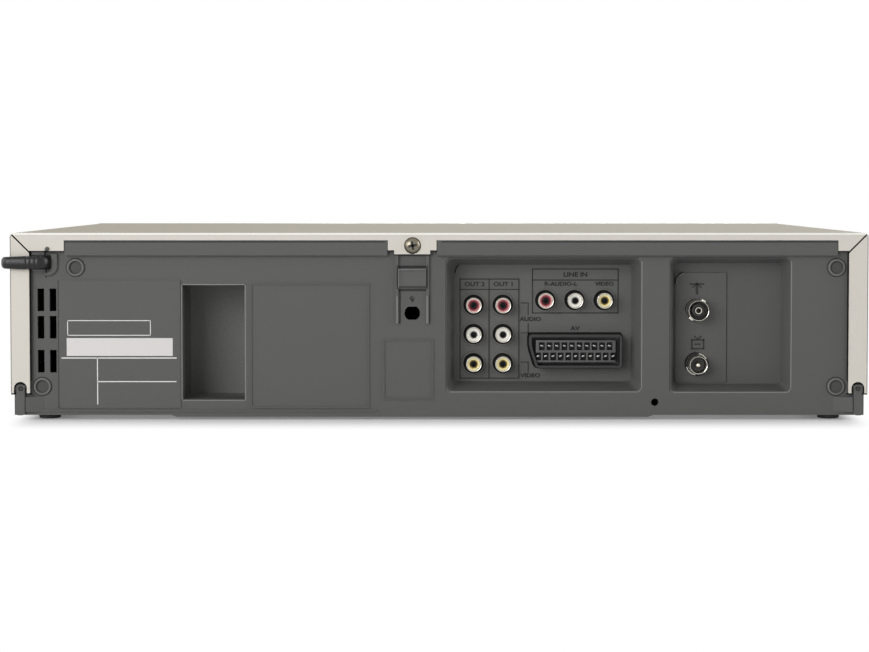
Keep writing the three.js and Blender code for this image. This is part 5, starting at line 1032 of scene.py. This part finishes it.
# two bright metal arcs on the lower socket's dark collar, placed where its highlights fall: painted
# highlights
arcs = [
    stand(partTurned(aerial["arcCollar"], *span), "rear", outAt) for span in aerial["arcTurns"]
]
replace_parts(place("aerialOutCollarArcs", together(*arcs), "nickel"), "rf_out")
nubs = [
    stand(spun(eased(block(*aerial["nub"]), aerial["nubEdge"]), math.radians(turn)), "rear", inAt)
    for turn in aerial["nubTurns"]
]
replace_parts(place("aerialNubs", together(*nubs), "nickel"), "aerial_in")
print("aerial sockets set")

# legends moulded in low relief, and the frames round the sockets, coloured dark as painted shade:
# rows of width and path
legend = {
    "wide": 1.18,
    "frames": [
        (0.45, boxed(-10.7, 19.5, -40.7, 70.1)),
        (0.45, [(-25.5, 19.5), (-25.5, 70.1)]),
        (0.45, [(-10.7, 64.8), (-40.7, 64.8)]),
        (0.45, boxed(-47.6, 52.8, -91.2, 75.2)),
        (0.45, [(-47.6, 69.6), (-91.2, 69.6)]),
        (0.35, [(-41.8, 57.9), (-45.4, 57.9), (-45.4, 52)]),
        (0.35, [(-45.4, 47.4), (-45.4, 42.6), (-41.8, 42.6)]),
        (0.35, [(-41.8, 27.7), (-45.4, 27.7), (-45.4, 22.9)]),
    ],
    "words": [
        ("OUT 2", -18.1, 67.4, 2.2), ("OUT 1", -32.9, 67.4, 2.2), ("LINE IN", -69.5, 72.3, 2.3),
        ("R-AUDIO-L", -62, 67.6, 2.1), ("VIDEO", -84.3, 67.6, 2), ("AUDIO", -46.6, 49.6, 2.1),
        ("AV", -69.4, 44.9, 2.2), ("VIDEO", -46.6, 20.8, 2.1),
    ],
}
inked = [
    words(text, size, (x, wall["avFloor"], z), "rear", legend["wide"])
    for text, x, z, size in legend["words"]
]
frames = rearLines({wall["avFloor"]: legend["frames"]})
place("socketLegends", together(frames, *inked), "legendPlastic", smooth=0)

# a quarter rib in the corner of each recess, a painted shade line with a painted highlight inside
# it, and the two signs by the aerial sockets, darker as painted shade
ribs = {  # a depth to the rib's centre and radius, then its first and last turn, and steps
    wall["avFloor"]: (-13.7, 73.4, 5.4, 0, 80, 10),
    wall["plateFace"]: (-124.9, 68.7, 5, -10, 80, 10),
}
for name, finish, width, inward in (
    ("cornerRibs", "legendPlastic", 0.5, 0), ("cornerRibsWorn", "wornPlastic", 0.35, 0.6),
):
    ruled(name, finish, {
        y: [(width, arc(x, z, radius - inward, *turns))]
        for y, (x, z, radius, *turns) in ribs.items()
    })

signs = {  # a sign's middle to its rows of width and path
    (-131, 65.7): [
        (0.7, [(3.4, 2), (-3.4, 2)]), (1.3, [(0, 2), (0, -2.6)]), (0.6, [(2, 0.4), (1.2, 1.2)]),
        (0.6, [(-2, 0.4), (-1.2, 1.2)]),
    ],
    (-131.5, 37.7): [
        (0.7, boxed(3, -2.9, -3, 1.6)),
        (0.6, [(1.6, 3.4), (0, 1.8), (-1.6, 3.4)]), (0.6, [(1.4, -0.6), (-1.2, -0.6)]),
    ],
}
rows = [
    (width, [(x + across, z + up) for across, up in path])
    for (x, z), parts in signs.items() for width, path in parts
]
ruled("aerialSigns", "signPlastic", {wall["plateFace"]: rows})
print("legends moulded")

# screw that holds the cover, its head domed, its cross recess drawn as a black cross on the dome,
# and a dark ring under the head, both painted shade
screw = {
    "at": (13.3, wall["flange"], 87.67),
    "head": [
        (0, -1), (3.9, -1), (3.9, 0.35), (3.666, 0.75), (2.808, 1.52), (1.56, 1.824), (0, 1.9),
    ],
    "shade": [(3.6, -0.2), (3.6, 0.06), (4.2, 0.06), (4.2, -0.2)],
    "bar": ((-2.15, 2.15), (-0.62, 0.62), (0.57, 1.94)),
    "turns": (0.2, 0.2 + math.pi / 2),
}
place("coverScrew", stand(turned(screw["head"]), "rear", screw["at"]), "screwSteel")
place("coverScrewShade", stand(turned(screw["shade"]), "rear", screw["at"]), "shadePlastic")
cross = together(*[spun(block(*screw["bar"]), turn) for turn in screw["turns"]])
place("coverScrewRecess", stand(cross, "rear", screw["at"]), "blackPlastic", smooth=0)

# blank label and the bare white rules beside it
blank = {
    "face": 147.7,
    "lift": 0.05,
    "rules": [
        (0.55, [(189.6, 31.06), (132.3, 31.06)]), (0.5, [(171.8, 31), (171.8, 7.9)]),
        (0.5, [(171.9, 19.16), (132.4, 19.16)]),
        (0.4, boxed(186.7, 42.5, 145.1, 49.9)),
    ],
    "label": ((-187.2, -133.9), (32.1, 41.1), (-0.05, 0.12)),
    "edge": 0.04,
}
ruled("ratingRules", "whiteInk", {blank["face"]: blank["rules"]}, blank["lift"])
sticker = eased(block(*blank["label"]), blank["edge"], 1)
place("ratingLabel", stand(sticker, "rear", (0, blank["face"], 0)), "stickerPaper", smooth=0)
print("rear wall dressed")

# rings round the fixing holes in the four corners of the rear wall
boss = {
    "places": [(182.6, 76.6), (199.6, 16.7), (-199.6, 76.6), (-199.6, 16.7)],
    "floorShift": (-0.22, -0.18),
    "ring": [
        (3.1, -0.3), (3.1, 0.6), (3.22, 0.95), (3.5, 1.05), (3.9, 1.02), (4.25, 0.85), (4.42, 0.5),
        (4.48, 0.02), (4.3, -0.3),
    ],
    "rim": [(3.62, 0.9), (3.72, 1.1), (3.94, 1.08), (4.1, 0.95), (4.02, 0.8), (3.7, 0.8)],
    "groove": [(4.4, -0.2), (4.4, 0.05), (4.85, 0.05), (4.85, -0.2)],
    "well": [(0, -0.2), (3.2, -0.2), (3.2, 0.04), (0, 0.04)],
    "floor": [(0, -0.1), (2.8, -0.1), (2.8, 0.08), (0, 0.08)],
    "wellSteps": 40,
}
# painted light and shade: a pale rim on each ring, a dark band round it, and a dark disc in the
# hollow under a lighter floor set off centre, so that a shade crescent shows
across, up = boss["floorShift"]
bossPlaces = [(x, wall["face"], z) for x, z in boss["places"]]
floorPlaces = [(x + across, y, z + up) for x, y, z in bossPlaces]
place("cornerRings", rings(boss["ring"], bossPlaces), "framePlastic")
place("cornerRingRims", rings(boss["rim"], bossPlaces), "rimPlastic")
place("cornerRingGrooves", rings(boss["groove"], bossPlaces), "legendPlastic")
place("cornerRingWells", rings(boss["well"], bossPlaces, boss["wellSteps"]), "legendPlastic")
place("cornerRingFloors", rings(boss["floor"], floorPlaces, boss["wellSteps"]), "recessPlastic")
print("corner rings set")

# painted shade in the gaps along the cover's flanges and behind its mitres, then under its edge and
# its tab
gap = {
    "y": 148.9,
    "lift": 0.05,
    "flange": (0.75, 205.125, 84.4, 20),
    "mitre": (0.72, 213.9, 92.9, 205.4, 84.4),
    "thin": 0.55,
    "edges": [
        (205.2, 188, 84.72), (-200, -205.2, 84.72), (25.6, 22.8, 85.02), (4.2, 1.4, 85.02),
        (22.4, 4.6, 83.02),
    ],
}
width, x, high, low = gap["flange"]
flanges = [(width, [(side * x, high), (side * x, low)]) for side in (-1, 1)]
edges = [(gap["thin"], [(start, z), (end, z)]) for start, end, z in gap["edges"]]
width, outer, high, inner, low = gap["mitre"]
mitres = [(width, [(side * outer, high), (side * inner, low)]) for side in (-1, 1)]
levels = {gap["y"]: flanges + edges, wall["flange"]: mitres}
ruled("coverGaps", "shadePlastic", levels, gap["lift"])

# moulded lip, slit and notch where the sleeve leaves the wall
outlet = {
    "notch": [(0, -0.5), (1.05, -0.5), (1.05, 0.5), (0.8, 0.9), (0.4, 1.1), (0, 1.2)],
    "notchPlace": (196.3, wall["flange"], 86),
    "notchSteps": 24,
    "slit": (0.6, [(197.35, 75.4), (197.35, 71.9)]),
    "groove": (0.5, [(197.3, 86), (197.3, 82.4)]),
    "slitLift": 0.06,
}
outletForms = {  # finish, root, height, the edge's width and segments, outline
    "outletLip": ("framePlastic", -0.1, 1.5, (0.45, 3), [
        (194.75, 83.6), (194.75, 75.9), (195.3, 74.9), (196.4, 74.2), (197.4, 73.9), (198, 73.2),
        (196.8, 72.2), (194.4, 72.8), (192.4, 74.4), (191.5, 76.6), (191.5, 83.6),
    ]),
    "outletPlate": ("framePlastic", -0.05, 1.6, (0.12, 2), [
        (204.4, 84.4), (204.4, 82.7), (198, 82.7), (198, 84.4),
    ]),
    "outletLedge": ("rimPlastic", -0.05, 0.5, (0.12, 2), [
        (204.4, 75.55), (204.4, 74.95), (198.2, 74.95), (198.2, 75.55),
    ]),
}
for name, (finish, root, height, (edge, segments), outline) in outletForms.items():
    form = raised([seen(*at) for at in outline], 0, height)
    eased(form, edge, segments, angle=50)
    place(name, stand(form, "rear", (0, wall["face"] + root, 0)), finish)
# the slit and the groove drawn as dark lines, painted shade
levels = {wall["face"]: [outlet["slit"]], wall["flange"]: [outlet["groove"]]}
ruled("outletSlits", "shadePlastic", levels, outlet["slitLift"])
notch = stand(turned(outlet["notch"], outlet["notchSteps"]), "rear", outlet["notchPlace"])
place("outletNotch", notch, "framePlastic")

# painted highlights and painted shade lines along the recesses, the pocket and the blank label's
# place, and a painted shade line along the top of the rear strip, under the cover's flange
edging = {
    "lift": 0.05,
    "wornWidth": 0.42,
    "worn": [
        [(-101.9, 79.5), (-101.9, 15.6), (-100.4, 13.9), (-5.5, 13.9)],
        [(-177, 79.6), (-177, 15.4), (-175.4, 13.7), (-118, 13.7)],
        boxed(129.4, 68, 97.4, 9.7),
    ],
    "foldWidth": 0.4,
    "folds": [
        [(-3.4, 14.8), (-3.4, 79.6), (-5.2, 81.4), (-100, 81.4)],
        [(-116, 14.6), (-116, 79.8), (-117.8, 81.6), (-174.6, 81.6)],
        [(191.4, 70), (191.4, 6), (130, 6)],
    ],
    "plateY": 134.3,
    "plateFolds": [[(-121.8, 73.4), (-146.2, 73.4), (-146.2, 18)]],
    "seamWidth": 0.62,
    "seams": [[(187.4, 89.5), (27.4, 89.5)], [(-1.6, 89.5), (-199.4, 89.5)]],
}
for name, finish, width, levels in (
    ("edgesWorn", "wornPlastic", edging["wornWidth"], {wall["face"]: edging["worn"]}),
    ("edgesFolded", "signPlastic", edging["foldWidth"], {
        wall["face"]: edging["folds"], edging["plateY"]: edging["plateFolds"],
    }),
    ("stripSeams", "signPlastic", edging["seamWidth"], {wall["strip"]: edging["seams"]}),
):
    rows = {y: [(width, path) for path in paths] for y, paths in levels.items()}
    ruled(name, finish, rows, edging["lift"])

# tongue showing through each lower corner of the cover, painted shade round it and a dark ring for
# its dimple's shade, its wedge, and a painted shade line down the cover's outer edges
foot = {
    "x": 210.2,
    "half": 2.9,
    "arch": 16,
    "archTurns": (0, 180, 12),
    "low": 13.7,
    "wide": 0.55,
    "lift": 0.05,
    "lip": 0.9,
    "lipY": 149.7,
    "lipZ": 13.25,
    "lips": [(214.5, 212.9), (207, 205)],
    "dimple": (0.3, 149.9, 15.8, 0.9, 0, 360, 16),
    "rolled": (0.36, 214.75, 14, 92.5),
    "rolledLift": 0.03,
    "wedge": [(207.75, 149.9), (198.5, 147.2), (198.5, 146.9), (207.75, 146.9)],
    "wedgeRise": (4, 11.5),
}
arches, lips, dimples, rolled, wedges = [], [], [], [], []
for side in (-1, 1):
    x, half = side * foot["x"], foot["half"]
    ends = (x + half, foot["low"]), (x - half, foot["low"])
    bow = arc(x, foot["arch"], half, *foot["archTurns"])
    arches.append((foot["wide"], [ends[0], *bow, ends[1]]))
    for run in foot["lips"]:
        lips.append((foot["lip"], [(side * end, foot["lipZ"]) for end in run]))
    width, dimpleY, z, radius, *turns = foot["dimple"]
    dimples.append((width, arc(x, z, radius, *turns)))
    width, edge, low, high = foot["rolled"]
    rolled.append((width, [(side * edge, low), (side * edge, high)]))
    wedges.append(raised([(side * x, y) for x, y in foot["wedge"]], *foot["wedgeRise"]))
levels = {wall["flange"]: arches, foot["lipY"]: lips}
ruled("footGaps", "shadePlastic", levels, foot["lift"])
place("footWedges", together(*wedges), "framePlastic", smooth=0)
# a dark ring on each tongue, painted shade of a small dimple
ruled("footDimples", "signPlastic", {dimpleY: dimples}, foot["lift"])
ruled("coverRolledEdges", "rimPlastic", {wall["flange"]: rolled}, foot["rolledLift"])

# hook for the lead: a painted highlight along its upper edge and on the two rails below, and
# painted shade round it and beside the rails
hook = {
    "face": 151.4,
    "paleLift": 0.04,
    "pale": [(0.4, [(20.2, 75.75), (6.8, 75.75)]), (0.25, [(20.3, 75.5), (20.3, 66.4)])],
    "rails": [(0.85, [(x, 61.8), (x, 48.9)]) for x in (21.05, 6.05)],
    "sideLift": 1.46,
    "sides": [(0.63, [(x, 77.4), (x, 66.1)]) for x in (20.95, 6.05)],
    "shadeLift": 0.1,
    "shades": [
        (1.3, [(21, 76.9), (6, 76.9)]), (1.1, [(20, 65.2), (7, 65.2)]),
        (0.45, [(19.6, 64.6), (19.6, 49.2)]), (0.45, [(4.9, 62.6), (4.9, 49.2)]),
        (0.5, [(21, 48.9), (19.6, 48.9)]), (0.5, [(6.3, 48.9), (4.9, 48.9)]),
        (1, [(13.4, 60.4), (13.4, 59.8)]),
    ],
}
levels = {hook["face"]: hook["pale"], wall["rail"]: hook["rails"]}
ruled("hookEdges", "rimPlastic", levels, hook["paleLift"])
sides = rearLines({wall["face"]: hook["sides"]}, hook["sideLift"])
shades = rearLines({wall["face"]: hook["shades"]}, hook["shadeLift"])
place("hookShades", together(sides, shades), "legendPlastic", smooth=0)
print("outlet and hook detailed")

# front: symbols and words on the keys, and the figures behind the window
front = {"face": -150, "lift": 0.12, "arrow": (0.5, 0.6), "spread": 1.1}


def arrow(size, side=1):  # a play triangle round its own middle
    back, ahead = (size * share for share in front["arrow"])
    outline = [(-side * back, -ahead), (side * ahead, 0), (-side * back, ahead)]
    return raised(outline, 0, front["lift"])


def bar(width, height):
    return block((-width / 2, width / 2), (-height / 2, height / 2), (0, front["lift"]))


def disc(steps, inner, outer):
    lift = front["lift"]
    return turned([(inner, 0), (outer, 0), (outer, lift), (inner, lift)], steps)


keySigns = {  # a key's node to its place and the forms on it
    "play_button": (150, 60, [arrow(2.6)]),
    "rewind_button": (128, 60, [moved(arrow(2, -1), -1), moved(arrow(2, -1), 1.2)]),
    "fast_forward_button": (172, 60, [moved(arrow(2), -1.2), moved(arrow(2), 1)]),
    "stop_button": (194, 60, [bar(2.8, 2.8)]),
    "record_button": (128, 76, [disc(28, 0, 1.4)]),
    "eject_button": (178, 76, [
        moved(bar(3.2, 0.7), 0, -1.2),
        raised([(-1.6, -0.4), (1.6, -0.4), (0, 1.4)], 0, front["lift"]),
    ]),
    "power_button": (-178, 69, [disc(32, 1.6, 2.05), moved(bar(0.5, 1.9), 0, 1.5)]),
    "channel_rocker": (160, 30, [
        moved(bar(2.2, 0.6), -16), moved(bar(2.2, 0.6), 16), moved(bar(0.6, 2.2), 16),
    ]),
}
for node, (x, z, forms) in keySigns.items():
    name = camel(node.rsplit("_", 1)[0]) + ("Signs" if node == "channel_rocker" else "Sign")
    sign = stand(together(*forms), "front", (x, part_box(node)[0][1] / mm, z))
    place(name, sign, "signInk", nodes[node]["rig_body"], smooth=0)

frontWords = {
    "POWER": (-178, 60.4, 2), "EJECT": (178, 83.2, 1.7), "REC": (128, 68.6, 1.6),
    "REW": (128, 52, 1.6), "PLAY": (150, 52, 1.6), "F.FWD": (172, 52, 1.6), "STOP": (194, 52, 1.6),
    "CHANNEL": (160, 37.6, 1.8),
}
printed = [
    words(text, size, (x, front["face"], z), "front", front["spread"], front["lift"])
    for text, (x, z, size) in frontWords.items()
]
place("frontWords", together(*printed), "signInk", smooth=0)
window = {
    "face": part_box("display_window")[0][1] / mm,
    "lift": 0.04,
    "capital": 1.7,
    "words": {
        "REC": (-60, 38.6), "TIMER": (-44, 38.6), "PLAY": (-60, 21.6), "SP  LP": (58, 38.6),
        "HI-FI": (58, 21.6),
    },
    "figures": (-15.1, -6.1, 6.1, 15.1),
    "half": 2.4,
    "low": 25,
    "middle": 30,
    "high": 35,
    "bar": 1.9,
    "wide": 0.9,
}
ghosts = [
    words(text, window["capital"], (x, window["face"], z), "front", front["spread"], window["lift"])
    for text, (x, z) in window["words"].items()
]
for x in window["figures"]:  # unlit figures
    half, reach = window["half"], window["bar"]
    box = boxed(x - half, window["low"], x + half, window["high"])
    dash = [(x - reach, window["middle"]), (x + reach, window["middle"])]
    for path in (box, dash):
        at = (0, window["face"], 0)
        ghosts.append(stroke(path, window["wide"], at, "front", window["lift"]))
place("windowFigures", together(*ghosts), "windowInk", smooth=0)
print("front marked")

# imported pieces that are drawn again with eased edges; the others keep their shape
softened = {
    "cassette_door": 0.35,
    "cord_tie": 0.3,
    **{name: 0.4 for name in keySigns},
    **{name: 0.4 for name in nodes if name.startswith("foot_")},
}
for row in frame["record"]["subparts"]:
    name, finish = row["node"], camel(row["material_slot"])
    if name in softened:
        soften(name, finish, softened[name])
    data = nodes[name].data
    data.materials.clear()
    data.materials.append(finishes[finish])
print("packed pieces finished")

# floor and backdrop, and lamps
studio = {
    "floorSize": 9,
    "floorZ": -0.0001,
    "fill": 0.3,
    "reach": (0.2, 0.146),
    "narrow": (3, 1),
    "shadeNear": 0.16,
    "shadeFade": 0.05,
    "aim": (0, 0, 0.05),
    "lamps": {
        "key": {"place": (1.2, 1.95, 0.5), "size": 1.6, "power": 33},
        "left": {"place": (3.0, 0.1, 0.8), "size": 1.8, "power": 26},
        "right": {"place": (-3.0, 0.3, 0.9), "size": 1.8, "power": 40},
        "front": {"place": (-0.8, -3.2, 0.9), "size": 2.4, "power": 58},
    },
}
for name, settings in studio["lamps"].items():
    data = bpy.data.lights.new(name + "Lamp", "AREA")
    data.shape = "SQUARE"
    data.size = settings["size"]
    data.energy = settings["power"]
    lamp = bpy.data.objects.new(name + "Lamp", data)
    lamp.location = settings["place"]
    aim = Vector(studio["aim"]) - lamp.location
    lamp.rotation_euler = aim.to_track_quat("-Z", "Y").to_euler()
    scene.collection.objects.link(lamp)

floorForm = bmesh.new()
bmesh.ops.create_grid(floorForm, x_segments=1, y_segments=1, size=studio["floorSize"])
bmesh.ops.translate(floorForm, verts=floorForm.verts, vec=(0, 0, studio["floorZ"]))
floorMesh = bpy.data.meshes.new("floor")
floorForm.to_mesh(floorMesh)
floorForm.free()
floor = bpy.data.objects.new("floor", floorMesh)
scene.collection.objects.link(floor)

paper = Sheet("studioPaper")
paper.set(BaseColor=tone(250, 250, 250), Roughness=0.9, SpecularIORLevel=0)
glow = paper.add("ShaderNodeEmission", {}, {"Color": (1, 1, 1, 1), "Strength": 1})
# painted shade: near the recorder, and narrower at its sides, the floor's glow fades to its lit and
# shadowed paper, darker there also where no shadow falls; the rest glows plain white for direct
# rays
beyond = [
    (abs(paper.axis(axis)) - reach).atLeast(0) * narrow
    for axis, (reach, narrow) in enumerate(zip(studio["reach"], studio["narrow"]))
]
away = (beyond[0] * beyond[0] + beyond[1] * beyond[1]) ** 0.5
fade = {"Value": away, "From Max": studio["shadeFade"], "To Min": studio["shadeNear"]}
bright = paper.add("ShaderNodeMapRange", {"interpolation_type": "SMOOTHSTEP"}, fade)
shades = {0: paper.direct() * bright, 1: Signal(paper, paper.shader.outputs[0]), 2: glow}
blend = paper.add("ShaderNodeMixShader", {}, shades)
paper.put(paper.tree.nodes["Material Output"].inputs["Surface"], blend)
floorMesh.materials.append(paper.material)

air = Sheet("studioAir", bpy.data.worlds, "Background")
level = {"Value": air.direct(), "To Min": studio["fill"], "To Max": 1}
air.set(Color=(1, 1, 1, 1), Strength=air.add("ShaderNodeMapRange", {}, level))
scene.world = air.material
scene.view_settings.view_transform = "Standard"
print("studio lit")
